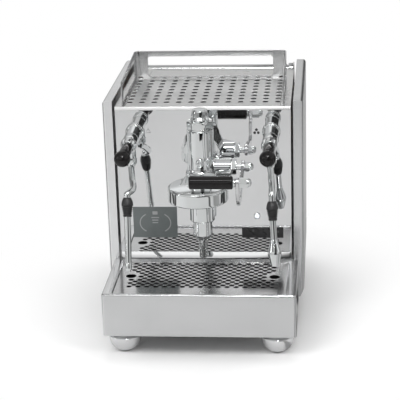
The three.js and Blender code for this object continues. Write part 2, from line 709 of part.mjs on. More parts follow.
// Boiler with domed ends, an end flange for the element and a safety valve on top
function boilerBody() {
  const { dome, z, sides } = boiler;
  const [radius, halfLength, setback] = [boilerRadius, boilerHalf, boilerSetback];
  const flange = endFlange.radiusShare * radius;
  const end = halfLength + dome;
  const profile = [
    [0, -end], [flange, -end], [radius, -halfLength], [radius, halfLength],
    [flange, end], [flange, end + endFlange.thickness], [0, end + endFlange.thickness],
  ];
  const shell = move(alongX(turned(profile, sides)), 0, behind(setback), z);
  const top = z + radius + relief.height;
  const profileTop = [
    [0, z], [relief.radius, z], [relief.radius, top - relief.cap], [relief.capRadius, top - relief.cap],
    [relief.capRadius, top], [0, top],
  ];
  return join(shell, move(turned(profileTop, relief.sides), relief.offsetShare * boilerHalf, behind(setback), 0));
}

function boilerCradle() {
  const { endInset, thickness, depthShare, heightShare } = cradle;
  const [x, halfDepth] = [boilerHalf - endInset, depthShare * boilerRadius];
  const top = boiler.z - boilerRadius * (1 - heightShare);
  const middle = behind(boilerSetback);
  const base = panTop + clearance;
  const plate = box(-x, x, middle - halfDepth, middle + halfDepth, base, base + sheet);
  const left = box(
    -x - thickness / 2, thickness / 2 - x, middle - halfDepth, middle + halfDepth, base, top,
  );
  const hollow = alongX(rod(boilerRadius + clearance, -width, width, boiler.sides));
  return cut(join(left, mirrored(left), plate), move(hollow, 0, middle, boiler.z));
}

function heatingElement() {
  const { radius, sides, depth, tagHalf, tag, tagSpread } = element;
  const start = boilerHalf + boiler.dome + endFlange.thickness + clearance;
  const head = move(alongX(rod(radius, start, start + depth, sides)), 0, behind(boilerSetback), boiler.z);
  const end = start + depth;
  const tags = [-tagSpread, tagSpread].map((dy) => {
    const y = behind(boilerSetback) + dy;
    return box(end - tag / 2, end + tag, y - tagHalf, y + tagHalf, boiler.z - tagHalf, boiler.z + tagHalf);
  });
  return join(head, ...tags);
}

// Vibration pump: a square coil on a foot, with the pump tube running through it
function pumpBody() {
  const { z, coilHalf, coilLength, tubeRadius, sides } = pump;
  const [x, middle, length] = [pumpX, behind(pumpSetback), pumpLength];
  const coil = box(
    x - coilHalf, x + coilHalf, middle - coilLength / 2, middle + coilLength / 2, z - coilHalf,
    z + coilHalf,
  );
  const tubeBody = move(forward(rod(tubeRadius, -length / 2, length / 2, sides)), x, middle, z);
  const { halfWidth, halfLength } = pumpFoot;
  const base = box(
    x - halfWidth, x + halfWidth, middle - halfLength, middle + halfLength, panTop + clearance, z,
  );
  return join(coil, tubeBody, base);
}

function waterTank() {
  const { top, wall } = tank;
  const [halfWidth, near, far] = [tankHalf, tankFront, tankBack];
  const bottom = panTop + clearance;
  const block = box(-halfWidth, halfWidth, behind(near), behind(far), bottom, top);
  const hollow = box(
    wall - halfWidth, halfWidth - wall, behind(near + wall), behind(far - wall), bottom + wall,
    top + overrun,
  );
  return cut(block, hollow);
}

function controlBox() {
  const { sideInset, halfWidth, frontShare, backShare, height } = electrics;
  const x = sideInner - sideInset;
  const [near, far] = [behind(frontShare * tankFront), behind(backShare * tankFront)];
  return box(x - halfWidth, x + halfWidth, near, far, panTop + clearance, panTop + clearance + height);
}

// Bracket behind the front panel that carries the group and both valves
function mountingPlate() {
  const near = behind(face.setback + sheet + clearance);
  const { valveMargin, legHalf, thickness, bottom, top, foot: flange } = mountPlate;
  const halfWidth = valveX + valveMargin;
  const base = panTop + clearance;
  const outline = polygon([
    [-legHalf, base], [legHalf, base], [legHalf, bottom], [halfWidth, bottom],
    [halfWidth, top], [-halfWidth, top], [-halfWidth, bottom], [-legHalf, bottom],
  ]);
  pierce(outline, mountingHoles());
  const plate = acrossY(outline, near, near + thickness);
  return join(plate, box(-legHalf, legHalf, near, near + flange, base, base + thickness));
}

// Pipes from the boiler to the group and to both valves
function pipeRun(points) {
  const placed = points.map(([x, setback, z]) => [x, behind(setback), z]);
  return tube(placed, pipe.radius, pipe.sides, pipe.steps);
}

function valvePipe(sign) {
  const top = boiler.z + boilerRadius + clearance;
  const stemEnd = valve.stemDepth + clearance;
  const { tapInset, rise, bow } = pipe;
  const tapX = boilerHalf - tapInset;
  return pipeRun([
    [sign * tapX, boilerSetback, top], [sign * tapX, boilerSetback, top + rise],
    [sign * (tapX + valveX) / 2, boilerSetback - bow, valve.z], [sign * valveX, stemEnd + bow, valve.z],
    [sign * valveX, stemEnd, valve.z],
  ]);
}

// Flow and return between boiler and group, with the fitting that joins them to the spigot
function groupPipes() {
  const top = boiler.z + boilerRadius + clearance;
  const near = face.setback + spigot.length + clearance;
  const boilerFront = boilerSetback - boilerRadius - clearance;
  const { rise, bow, groupX, groupOffset, drop, radius } = pipe;
  const inside = near + radius;
  const flow = pipeRun([
    [-groupX, boilerSetback, top], [-groupX, boilerSetback, top + rise / 2],
    [-groupX, boilerSetback - bow, top + rise], [0, inside + bow, group.barrelZ + groupOffset],
    [0, inside, group.barrelZ + groupOffset],
  ]);
  const returnPipe = pipeRun([
    [groupX, boilerFront, boiler.z], [groupX, boilerFront - drop, boiler.z],
    [groupX / 2, boilerFront - drop, boiler.z + 2 * drop], [
      0, inside + drop, group.barrelZ - groupOffset - drop,
    ],
    [0, inside, group.barrelZ - groupOffset],
  ]);
  const fitting = move(
    forward(rod(spigot.radius, -inside - radius, -near, valve.sides)), 0, faceY, group.barrelZ,
  );
  return join(flow, returnPipe, fitting);
}

function pumpPipe() {
  const boilerFront = boilerSetback - boilerRadius - clearance;
  const { bow, drop } = pipe;
  const pumpFront = pumpSetback - pumpLength / 2 - clearance;
  return pipeRun([
    [pumpX, pumpFront, pump.z], [pumpX, pumpFront - drop, pump.z],
    [pumpX, pumpFront - drop, pump.z + 2 * pump.coilHalf], [pumpX + drop, pumpFront - drop, boiler.z - bow],
    [pumpX + 2 * drop, boilerFront - drop, boiler.z], [pumpX + 2 * drop, boilerFront, boiler.z],
  ]);
}

function tankHose() {
  const pumpBack = pumpSetback + pumpLength / 2 + clearance;
  const { drop } = pipe;
  return pipeRun([
    [pumpX, pumpBack, pump.z], [pumpX, pumpBack + drop, pump.z],
    [pumpX + 2 * drop, tankFront - drop, pump.z], [pumpX + 2 * drop, tankFront - clearance, pump.z],
  ]);
}

// Ring nut that clamps the group to the mounting plate
function groupNut() {
  const start = face.setback + sheet + clearance + mountPlate.thickness + clearance;
  const end = start + clampNut.length;
  const { radius, sides } = clampNut;
  const hex = rod(radius, -end, -start, sides);
  const bore = rod(spigot.radius + clearance, -end - overrun, overrun - start, group.sides);
  return move(forward(cut(hex, bore)), 0, faceY, group.barrelZ);
}

// Group casting: barrel, upright chamber, cam boss and the bell that takes the filter holder
function groupBody() {
  const stackY = ahead(group.reach);
  const { sides } = group;
  const barrel = move(
    forward(rod(group.barrelRadius, clearance - face.setback, group.reach, sides)), 0, faceY,
    group.barrelZ,
  );
  const root = move(
    forward(rod(spigot.radius, -face.setback - spigot.length, 0, sides)), 0, faceY, group.barrelZ,
  );
  const stack = move(rod(group.radius, bell.bottom, group.top, sides), 0, stackY, 0);
  const bridge = box(-neck.halfWidth, neck.halfWidth, ahead(bell.reach), stackY, neck.bottom, neck.top);
  const { radius, bottom, top, edge, crown, crownRadius } = bell;
  const profile = [
    [0, bottom], [radius, bottom], [radius, top - edge], [radius - edge, top], [crownRadius, top], [0, top + crown],
  ];
  const dome = move(turned(profile, sides), 0, ahead(bell.reach), 0);
  const camBoss = move(alongX(rod(cam.bossRadius, 0, cam.bossEnd, sides)), 0, stackY, cam.z);
  const plugBoss = move(forward(rod(plug.bossRadius, 0, plug.bossReach, sides)), 0, stackY, plug.z);
  const bore = move(rod(bell.bore, bottom - overrun, bottom + bell.depth, sides), 0, ahead(bell.reach), 0);
  const gland = move(alongX(rod(cam.nutRadius, 0, cam.bossEnd + cam.nut, cap.hexSides)), 0, stackY, cam.z);
  const camBore = move(
    alongX(rod(cam.bore, cam.boreStart, cam.bossEnd + cam.nut + overrun, cam.sides)), 0, stackY, cam.z,
  );
  const casting = cut(
    join(barrel, root, stack, bridge, dome, camBoss, gland, plugBoss, groupPlug()), bore, camBore,
  );
  return join(casting, bayonetLedge());
}

// Ledge at the mouth of the bell, broken on both sides so the filter holder can be put in and turned
function bayonetLedge() {
  const { depth, height, gapHalf } = bayonet;
  const { radius, bore, bottom } = bell;
  const wall = (radius + bore) / 2;
  const band = turned(
    ringOutline([
      [bore - depth, bottom], [wall, bottom],
      [wall, bottom + height], [bore - depth, bottom + height],
    ]),
    group.sides,
  );
  const gap = box(-bore, bore, -gapHalf, gapHalf, bottom - overrun, bottom + height + overrun);
  return move(cut(band, gap), 0, ahead(bell.reach), 0);
}

function groupGasket() {
  const top = bell.bottom + bell.depth - clearance;
  const { inner, outer, height } = gasket;
  const outline = ringOutline([[inner, top - height], [outer, top - height], [outer, top], [inner, top]]);
  return move(turned(outline, group.sides), 0, ahead(bell.reach), 0);
}

function showerScreen() {
  const top = bell.bottom + bell.depth - clearance;
  return move(rod(screen.radius, top - screen.thickness, top, screen.sides), 0, ahead(bell.reach), 0);
}

function groupPlug() {
  const { radius, bossReach, depth, dome, sides } = plug;
  const end = bossReach + depth;
  const profile = [[0, 0], [radius, 0], [radius, end], [radius / 2, end + dome], [0, end + dome]];
  return move(forward(turned(profile, sides)), 0, ahead(group.reach), plug.z);
}

function groupCap() {
  const start = group.top + clearance;
  const { radius, ring: height, bevel, hexRadius, hex, hexSides } = cap;
  const end = start + height;
  const base = turned(
    [[0, start], [radius, start], [radius, end - bevel], [radius - bevel, end], [0, end]], group.sides,
  );
  const top = end + hex;
  const nut = turned(
    [[0, start], [hexRadius, start], [hexRadius, top - bevel], [hexRadius - bevel, top], [0, top]],
    hexSides,
  );
  return move(join(base, nut), 0, ahead(group.reach), 0);
}

function lowerChamber() {
  const top = bell.bottom - clearance;
  const { radius, bottom, narrow, narrowBottom, tip, tipBottom, bevel } = lower;
  const profile = [
    [0, tipBottom], [tip, tipBottom], [narrow, narrowBottom], [narrow, bottom],
    [radius - bevel, bottom], [radius, bottom + bevel], [radius, top], [0, top],
  ];
  return move(join(turned(profile, valve.sides), drainSpout()), 0, ahead(group.reach), 0);
}

function drainSpout() {
  const top = lower.tipBottom + clearance;
  const { collar, collarLength, radius, bottom, bore, boreDepth, sides } = spout;
  const profile = [
    [0, bottom + boreDepth], [bore, bottom + boreDepth], [bore, bottom], [radius, bottom],
    [radius, top - collarLength], [collar, top - collarLength], [collar, top], [0, top],
  ];
  return turned(profile, sides);
}

// Domed nut, its flat side at the start
function acornNut(start, length) {
  const { radius, dome: rise, domeRadius, tipRadius, sides, domeSides } = acorn;
  const end = start + length;
  const hex = rod(radius, start, end, sides);
  const dome = turned(
    [
      [0, start], [domeRadius, start], [domeRadius, end + rise / 2], [tipRadius, end + rise],
      [0, end + rise],
    ],
    domeSides,
  );
  return join(hex, dome);
}

function leverShaft() {
  const armEnd = lever.x + lever.thickness / 2 + clearance;
  const shaft = rod(cam.radius, lobe.end - clearance, armEnd + clearance, cam.sides);
  const eccentric = move(rod(lobe.radius, lobe.start, lobe.end, cam.sides), lobe.offset, 0, 0);
  return alongX(join(shaft, eccentric, acornNut(armEnd, acorn.length)));
}

// Lever arm, a flat bar that dips and then rises to the grip
function leverArm() {
  const points = armReachShares.map((share, i) => {
    return new THREE.Vector2(-share * lever.gripReach, armRiseShares[i] * lever.gripRise);
  });
  const path = new THREE.SplineCurve(points);
  const edges = [1, -1].map((sign) => {
    return Array.from({ length: armSteps + 1 }, (_, i) => {
      const at = path.getPoint(i / armSteps);
      const along = path.getTangent(i / armSteps);
      return [at.x - sign * lever.halfWidth * along.y, at.y + sign * lever.halfWidth * along.x];
    });
  });
  const bar = acrossX(
    polygon([...edges[0], ...edges[1].reverse()]), -lever.thickness / 2, lever.thickness / 2,
  );
  const disc = (radius, overlap) => {
    const half = lever.thickness / 2 + overlap;
    return alongX(rod(radius, -half, half, lever.sides));
  };
  const end = [0, -lever.gripReach, lever.gripRise];
  const body = join(bar, disc(lever.hub, 0), move(disc(acorn.radius, 0), ...end));
  return cut(body, disc(cam.bore, overrun), move(disc(grip.bore, overrun), ...end));
}

function leverGrip() {
  const end = lever.x - lever.thickness / 2 - grip.spacer - clearance;
  const { radius, length, edge, bore, sink, sides } = grip;
  const profile = [
    [0, end - length], [radius - edge, end - length], [radius, end - length + edge], [radius, end - edge],
    [radius - edge, end], [bore, end], [bore, end - sink], [0, end - sink],
  ];
  return alongX(turned(profile, sides));
}

function leverBolt() {
  const gripEnd = lever.x - lever.thickness / 2 - grip.spacer - clearance;
  const armEnd = lever.x + lever.thickness / 2 + clearance;
  const bolt = rod(grip.bolt, gripEnd - grip.sink + clearance, armEnd + clearance, cam.sides);
  const spacer = rod(grip.spacerRadius, gripEnd + clearance, gripEnd + grip.spacer, cam.sides);
  return alongX(join(bolt, spacer, acornNut(armEnd, acorn.longLength)));
}

// Valve body with its stem through the panel and the socket of the wand below
function valveBody() {
  const { flangeRadius, flange, radius, reach, stem, stemDepth, sides } = valve;
  const root = clearance - face.setback;
  const profile = [
    [0, -stemDepth], [stem, -stemDepth], [stem, root], [flangeRadius, root], [flangeRadius, root + flange],
    [radius, root + flange], [radius, reach], [0, reach],
  ];
  const barrel = forward(turned(profile, sides));
  const { radius: post, flare, flareHeight, bottom, cup } = socket;
  const drop = bottom - valve.z;
  const stemProfile = [
    [0, drop], [flare, drop], [flare, drop + flareHeight], [post, drop + flareHeight], [post, 0], [0, 0],
  ];
  const stemBody = move(turned(stemProfile, sides), 0, -socket.reach, 0);
  const hollow = move(ball(cup, swivel.bands, swivel.sides), 0, -socket.reach, -swivel.drop);
  return cut(join(barrel, stemBody), hollow);
}

// A sphere as a turned profile, its poles up and down
function ball(radius, bands, sides) {
  const profile = Array.from({ length: bands + 1 }, (_, i) => {
    const angle = Math.PI * (i / bands - 0.5);
    const edge = i === 0 || i === bands;
    return [edge ? 0 : radius * Math.cos(angle), radius * Math.sin(angle)];
  });
  return turned(profile, sides);
}

function valveRing() {
  const start = valve.reach + clearance;
  const end = start + ring.length;
  const { radius, bevel, wall, cavity, mouth } = ring;
  const profile = [
    [0, start], [radius, start], [radius, end - 2 * bevel], [radius - bevel, end], [mouth, end],
    [cavity, end - wall], [cavity, start + wall], [0, start + wall],
  ];
  return forward(turned(profile, valve.sides));
}

function stickPivot() {
  return ball(stick.pivotRadius, swivel.bands, swivel.sides);
}

// Joystick: stalk, neck and ball knob, measured from the pivot
function stickKnob() {
  const { pivotReach, pivotRadius, stalk, neckReach, neckStart } = stick;
  const { neck: thick, taper, neckEnd, neckBevel } = stick;
  const at = (reach) => reach - pivotReach;
  const profile = [
    [0, pivotRadius + clearance], [stalk, pivotRadius + clearance], [stalk, at(neckReach)], [neckStart, at(neckReach)],
    [thick, at(neckReach + taper)], [thick, at(neckEnd - neckBevel)], [thick - neckBevel, at(neckEnd)],
    [knob.throat, at(neckEnd)], [knob.throat, at(knob.seatReach)], [0, at(knob.seatReach)],
  ];
  const body = turned(profile, knob.sides);
  return forward(join(body, move(ball(knob.radius, knob.bands, knob.sides), 0, 0, at(knob.reach))));
}

// Wand pieces, measured from the middle of the swivel ball
function wandPoint([dx, reach, z]) {
  return [dx, -reach, z - (valve.z - swivel.drop)];
}

function aimed(geometry, from, to) {
  const [start, end] = [from, to].map((point) => new THREE.Vector3(...point));
  const turn = new THREE.Quaternion().setFromUnitVectors(
    new THREE.Vector3(0, 0, 1), end.sub(start).normalize(),
  );
  return geometry.applyQuaternion(turn).translate(start.x, start.y, start.z);
}

function pointOn(from, to, distance) {
  const [start, end] = [from, to].map((point) => new THREE.Vector3(...point));
  return start.add(end.sub(start).normalize().multiplyScalar(distance)).toArray();
}

function wandTube(path) {
  const [knuckle, start, end] = [path.knuckle, path.start, path.end].map(wandPoint);
  const first = pointOn([0, 0, 0], knuckle, wand.radius);
  const length = new THREE.Vector3(...start).distanceTo(new THREE.Vector3(...end));
  const bend = tube(
    [first, knuckle, start, pointOn(start, end, wand.blend)], wand.radius, wand.sides, wand.steps,
  );
  const straight = aimed(rod(wand.radius, 0, length, wand.sides), start, end);
  return cut(join(bend, straight), ball(swivel.radius + 2 * clearance, swivel.bands, swivel.sides));
}

function wandSleeve(path) {
  const [start, end] = [path.start, path.end].map(wandPoint);
  const { length, ribs, radius, valley, endRadius, bore, sides } = sleeve;
  const outline = [[bore, 0], [endRadius, 0]];
  for (let i = 0; i < ribs; i += 1) {
    const step = length / ribs;
    outline.push([valley, (i + ribShares[0]) * step], [radius, (i + ribShares[1]) * step]);
  }
  outline.push([endRadius, length], [bore, length]);
  return aimed(turned(ringOutline(outline), sides), pointOn(start, end, path.lead), end);
}

function steamNozzle() {
  const [start, end] = [steamPath.start, steamPath.end].map(wandPoint);
  const { radius, nose, length, bore, boreDepth, sides } = steamTip;
  const profile = [
    [0, 0], [radius, 0], [radius, length - boreDepth / 2], [nose, length],
    [bore, length], [bore, length - boreDepth], [0, length - boreDepth],
  ];
  return aimed(turned(profile, sides), pointOn(end, start, -clearance), pointOn(end, start, -length));
}

function waterNozzle() {
  const [start, end] = [waterPath.start, waterPath.end].map(wandPoint);
  const { length, radius, endRadius, topRadius, swellShare, bore, boreDepth, sides } = waterTip;
  const profile = [
    [0, 0], [topRadius, 0], [radius, length * swellShare], [endRadius, length],
    [bore, length], [bore, length - boreDepth], [0, length - boreDepth],
  ];
  return aimed(turned(profile, sides), pointOn(end, start, -clearance), pointOn(end, start, -length));
}

// Assembly
piece('base_pan', basePan(), brushed);
for (const [place, [x, y]] of Object.entries(footPlaces())) {
  piece(`foot_${place}`, footCup(), chrome).position.set(x, y, 0);
}
piece('side_panel_right', sidePanel(), polished);
piece('side_panel_left', mirrored(sidePanel()), polished);
piece('front_panel', frontPanel(), chrome);
piece('front_strip', footStrip(), polished);
piece('pilot_light', pilotLight(), lamp);
piece('top_cover', topCover(), polished);
piece('cup_plate', cupPlate(), polished);
piece('tank_lid', tankLid(), polished);
piece('cup_rail', cupRail(), polished);
piece('rear_bar', rearGripBar(), chrome);
piece('rear_panel', rearPanel(), brushed);
piece('mains_inlet', mainsInlet(), plasticBlack);
piece('switch_frame', switchFrame(), plasticBlack);
piece('switch_rocker', switchRocker(), plasticBlack);
piece('drip_housing', dripHousing(), polished);
piece('drip_tub', dripTub(), brushed);
piece('drip_grate', dripGrate(), polished);
piece('boiler', boilerBody(), copper);
piece('boiler_cradle', boilerCradle(), brushed);
piece('heating_element', heatingElement(), brass);
piece('pump', pumpBody(), plasticGrey);
piece('water_tank', waterTank(), plasticClear);
piece('control_box', controlBox(), plasticGrey);
piece('mounting_plate', mountingPlate(), brushed);
piece('steam_pipe', valvePipe(-1), copper);
piece('water_pipe', valvePipe(1), copper);
piece('group_pipes', groupPipes(), copper);
piece('pump_pipe', pumpPipe(), copper);
piece('tank_hose', tankHose(), rubberBlack);
piece('group_body', groupBody(), chrome);
piece('group_cap', groupCap(), chrome);
piece('group_nut', groupNut(), brass);
piece('group_gasket', groupGasket(), rubberBlack);
piece('shower_screen', showerScreen(), brushed);
piece('lower_chamber', lowerChamber(), chrome);

const leverGroup = new THREE.Group();
leverGroup.name = 'lever';
leverGroup.position.set(0, ahead(group.reach), cam.z);
machine.add(leverGroup);
piece('lever_shaft', leverShaft(), chrome, leverGroup);
piece('lever_arm', leverArm(), polished, leverGroup).position.set(lever.x, 0, 0);
const gripAxle = new THREE.Group();
gripAxle.name = 'grip_axle';
gripAxle.position.set(0, -lever.gripReach, lever.gripRise);
leverGroup.add(gripAxle);
piece('lever_grip', leverGrip(), bakelite, gripAxle);
piece('lever_bolt', leverBolt(), chrome, gripAxle);

const outlets = [
  { name: 'steam', sign: -1, path: steamPath, nozzle: steamNozzle },
  { name: 'water', sign: 1, path: waterPath, nozzle: waterNozzle },
];
for (const { name, sign, path, nozzle } of outlets) {
  const valveGroup = new THREE.Group();
  valveGroup.name = `${name}_outlet`;
  valveGroup.position.set(sign * valveX, faceY, valve.z);
  machine.add(valveGroup);
  piece(`${name}_valve_body`, valveBody(), chrome, valveGroup);
  piece(`${name}_valve_ring`, valveRing(), chrome, valveGroup);
  const pivot = new THREE.Group();
  pivot.name = `${name}_stick`;
  pivot.position.set(0, -stick.pivotReach, 0);
  valveGroup.add(pivot);
  piece(`${name}_pivot`, stickPivot(), brass, pivot);
  piece(`${name}_knob`, stickKnob(), bakelite, pivot);
  const arm = new THREE.Group();
  arm.name = `${name}_wand`;
  arm.position.set(0, -socket.reach, -swivel.drop);
  valveGroup.add(arm);
  piece(`${name}_wand_ball`, ball(swivel.radius, swivel.bands, swivel.sides), chrome, arm);
  piece(`${name}_wand_tube`, wandTube(path), chrome, arm);
  piece(`${name}_wand_sleeve`, wandSleeve(path), rubberBlack, arm);
  piece(`${name}_wand_tip`, nozzle(), chrome, arm);
}

export default machine;
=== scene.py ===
import math
import bpy
import numpy as np
from mathutils import Matrix, Vector
from mathutils.geometry import delaunay_2d_cdt


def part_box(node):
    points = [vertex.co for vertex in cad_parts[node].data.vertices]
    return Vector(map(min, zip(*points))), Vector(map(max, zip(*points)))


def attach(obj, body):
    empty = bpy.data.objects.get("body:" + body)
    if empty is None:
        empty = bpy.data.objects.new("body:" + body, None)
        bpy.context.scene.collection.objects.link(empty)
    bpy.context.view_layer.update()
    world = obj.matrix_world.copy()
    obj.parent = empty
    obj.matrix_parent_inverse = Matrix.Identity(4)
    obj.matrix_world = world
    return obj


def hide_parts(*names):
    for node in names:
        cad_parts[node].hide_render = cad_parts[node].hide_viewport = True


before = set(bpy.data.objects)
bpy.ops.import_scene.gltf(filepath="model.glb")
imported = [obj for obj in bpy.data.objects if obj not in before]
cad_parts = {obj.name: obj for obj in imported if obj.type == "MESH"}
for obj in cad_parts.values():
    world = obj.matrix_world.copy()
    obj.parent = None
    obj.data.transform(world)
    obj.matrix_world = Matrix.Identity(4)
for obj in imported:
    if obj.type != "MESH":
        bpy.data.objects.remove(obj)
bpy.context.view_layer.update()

MM = 0.001
FACE = -38.5


def fwd(reach):
    """y of a place in front of the machine's face."""
    return FACE - reach


def aft(setback):
    """y of a place behind the machine's face."""
    return FACE + setback


# Places that several pieces share, in millimetres
PANEL_Y = aft(1.7)
MARK_Y = aft(1.95)
STACK_Y = fwd(39)
BELL_Y = fwd(94)
BARREL_Z = 268.0
PLUG_Z = 261.5
CAM_Z = 250.0
CAM_END = 43.7
VALVE_X = 99.0
VALVE_Z = 290.0
SOCKET_Y = fwd(50)
SOCKET_Z = 256.0

# How a form made along z is turned before it is moved to its place
TURNS = {
    "up": np.eye(3),
    "down": np.diag([1, -1, -1]),
    "right": np.array([[0, 0, 1], [0, 1, 0], [-1, 0, 0]]),
    "front": np.array([[1, 0, 0], [0, 0, -1], [0, 1, 0]]),
    "back": np.array([[1, 0, 0], [0, 0, 1], [0, -1, 0]]),
    "side": np.array([[0, 0, 1], [1, 0, 0], [0, 1, 0]]),
}


# Objects, and the forms they are made from. A form is a pair: points in millimetres and faces
def new_object(name, data):
    obj = bpy.data.objects.new(name, data)
    bpy.context.scene.collection.objects.link(obj)
    return obj


def piece(name, form, material, replaced=None, body="housing", smooth=38.0, bevel=0.0):
    """A mesh object that takes the place of the CAD node named by replaced and rides on a body. Its edges
    look smooth below an angle in degrees."""
    points, faces = form
    mesh = bpy.data.meshes.new(name)
    mesh.from_pydata((points * MM).tolist(), [], faces)
    mesh.validate()
    mesh.materials.append(material)
    obj = new_object(name, mesh)
    if bevel:
        bend_edges(obj, bevel)
    obj.data.shade_smooth()
    obj.data.set_sharp_from_angle(angle=math.radians(smooth))
    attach(obj, body)
    if replaced:
        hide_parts(replaced)


def bend_edges(obj, width):
    """Rounds the edges by a bevel, whose result becomes the object's mesh."""
    modifier = obj.modifiers.new("bend", "BEVEL")
    modifier.width = width * MM
    modifier.segments = 3
    modifier.limit_method = "ANGLE"
    modifier.angle_limit = math.radians(40)
    bpy.context.view_layer.update()
    evaluated = obj.evaluated_get(bpy.context.evaluated_depsgraph_get())
    mesh = bpy.data.meshes.new_from_object(evaluated)
    obj.modifiers.clear()
    obj.data = mesh


def merged(forms):
    """Several forms as one."""
    starts = np.cumsum([0] + [len(points) for points, _ in forms]).tolist()
    faces = [[i + start for i in face] for start, (_, part) in zip(starts, forms) for face in part]
    return np.concatenate([points for points, _ in forms]), faces


def placed(form, turn="up", at=(0, 0, 0)):
    """A form turned and moved to its place."""
    points, faces = form
    return points @ TURNS[turn].T + np.array(at, float), faces


def aimed(form, start, end):
    """A form along z turned to run from start towards end."""
    points, faces = form
    turn = np.array(Vector(end - start).to_track_quat("Z", "Y").to_matrix())
    return points @ turn.T + start, faces


def grid_faces(rows, columns, closed=False):
    """Quads between neighbours in a grid whose rows are rings. In a closed grid the columns are rings too."""
    i = np.arange(rows if closed else rows - 1)[:, None] * columns
    j = (i + columns) % (rows * columns)
    k = np.arange(columns)
    m = (k + 1) % columns
    return np.stack([i + k, i + m, j + m, j + k], -1).reshape(-1, 4).tolist()


def lofted(rings):
    """A skin over rings of points, with the first and the last ring filled."""
    rows, columns, _ = rings.shape
    last = (rows - 1) * columns
    ends = [list(range(columns))[::-1], list(range(last, last + columns))]
    return rings.reshape(-1, 3), grid_faces(rows, columns) + ends


def normalised(vectors):
    return vectors / np.linalg.norm(vectors, axis=-1, keepdims=True)


def rounded(chain, radii, steps=5):
    """A chain of (r, h) points with arcs for its inner corners. In a corner of angle t an arc of radius q
    reaches q / tan(t / 2) along both sides, or to just short of their middles."""
    chain = np.array(chain, float)
    out = [chain[:1]]
    for a, corner, b, radius in zip(chain, chain[1:], chain[2:], radii[1:]):
        la, lb = np.linalg.norm(a - corner), np.linalg.norm(b - corner)
        u, w = (a - corner) / la, (b - corner) / lb
        angle = math.acos(np.clip(u @ w, -1, 1))
        if radius <= 0 or angle > math.radians(176):
            out.append(corner[None])
            continue
        reach = min(radius / math.tan(angle / 2), 0.49 * la, 0.49 * lb)
        radius = reach * math.tan(angle / 2)
        centre = corner + normalised(u + w) * (radius / math.sin(angle / 2))
        first, last = corner + u * reach - centre, corner + w * reach - centre
        start, end = math.atan2(first[1], first[0]), math.atan2(last[1], last[0])
        sweep = (end - start + math.pi) % (2 * math.pi) - math.pi
        out.append(arc(*centre, radius, start + sweep * np.arange(steps + 1) / steps))
    return np.concatenate(out + [chain[-1:]])


def turned(profile, sides, hexagon=None):
    """Surface of revolution: (r cos a, r sin a, h). The profile ends on the axis at both ends, or is a ring.
    hexagon gives the corner radius and the turn of a hexagon that the form stays inside."""
    closed = profile[0][0] > 1e-6
    rings = profile if closed else profile[1:-1]
    angles = np.arange(sides) * 2 * math.pi / sides
    radius = np.repeat(rings[:, :1], sides, 1)
    if hexagon:
        corner, turn = hexagon
        off_flat = (angles + turn + math.pi / 6) % (math.pi / 3) - math.pi / 6
        radius = np.minimum(radius, corner * math.cos(math.pi / 6) / np.cos(off_flat))
    height = np.repeat(rings[:, 1:], sides, 1)
    points = np.stack([radius * np.cos(angles), radius * np.sin(angles), height], -1).reshape(-1, 3)
    faces = grid_faces(len(rings), sides, closed)
    if closed:
        return points, faces
    bottom, k = len(points), np.arange(sides)
    m, last = (k + 1) % sides, bottom - sides
    for fan in ((np.full(sides, bottom), m, k), (last + k, last + m, np.full(sides, bottom + 1))):
        faces += np.stack(fan, 1).tolist()
    return np.concatenate([points, [[0, 0, profile[0][1]], [0, 0, profile[-1][1]]]]), faces


def lathe(chain, radii, steps, sides, turn="up", at=(0, 0, 0), hexagon=None):
    """A turned form from a chain of (r, h) points with rounded corners, in its place."""
    return placed(turned(rounded(chain, radii, steps), sides, hexagon), turn, at)


def swept(path, radius, sides):
    """A tube along a path, with frames carried along it without twist."""
    tangents = normalised(np.gradient(path, axis=0))
    normal = np.cross(tangents[0], [1.0, 0.13, 0.21])
    angles = (np.arange(sides) * 2 * math.pi / sides)[:, None]
    rings = []
    for point, tangent in zip(path, tangents):
        normal = normalised(normal - tangent * (normal @ tangent))
        rings.append(point + radius * (np.cos(angles) * normal + np.sin(angles) * np.cross(tangent, normal)))
    return lofted(np.array(rings))


def blend(t, t0, t1, a, b):
    """Runs from a at t0 to b at t1."""
    return ((t1 - t) * a + (t - t0) * b) / (t1 - t0)


def spline(points, count):
    """Centripetal Catmull-Rom curve through the points, sampled evenly along its length."""
    p = np.array(points, float)
    p = np.concatenate([[2 * p[0] - p[1]], p, [2 * p[-1] - p[-2]]])
    knots = np.concatenate([[0], np.cumsum(np.sqrt(np.linalg.norm(np.diff(p, axis=0), axis=1)))])
    out = []
    for i in range(len(p) - 3):
        a, b, c, d = p[i:i + 4]
        t0, t1, t2, t3 = knots[i:i + 4]
        t = np.linspace(t1, t2, 24, endpoint=False)[:, None]
        ab, bc, cd = blend(t, t0, t1, a, b), blend(t, t1, t2, b, c), blend(t, t2, t3, c, d)
        out.append(blend(t, t1, t2, blend(t, t0, t2, ab, bc), blend(t, t1, t3, bc, cd)))
    out = np.concatenate(out + [p[-2:-1]])
    length = np.concatenate([[0], np.cumsum(np.linalg.norm(np.diff(out, axis=0), axis=1))])
    where = np.linspace(0, length[-1], count)
    return np.stack([np.interp(where, length, out[:, k]) for k in range(3)], 1)


def arc(x, y, r, angles):
    """Points round (x, y) at the given angles."""
    return np.stack([x + r * np.cos(angles), y + r * np.sin(angles)], 1)


def circle(x, y, r, count):
    return arc(x, y, r, np.arange(count) * 2 * math.pi / count)


def round_rect(x0, x1, y0, y1, r, steps=6):
    """A rectangle with round corners, counter-clockwise."""
    quarter = math.pi / 2 * np.arange(steps + 1) / steps
    corners = ((x1 - r, y0 + r), (x1 - r, y1 - r), (x0 + r, y1 - r), (x0 + r, y0 + r))
    return np.concatenate([arc(x, y, r, quarter + math.pi / 2 * (i - 1)) for i, (x, y) in enumerate(corners)])


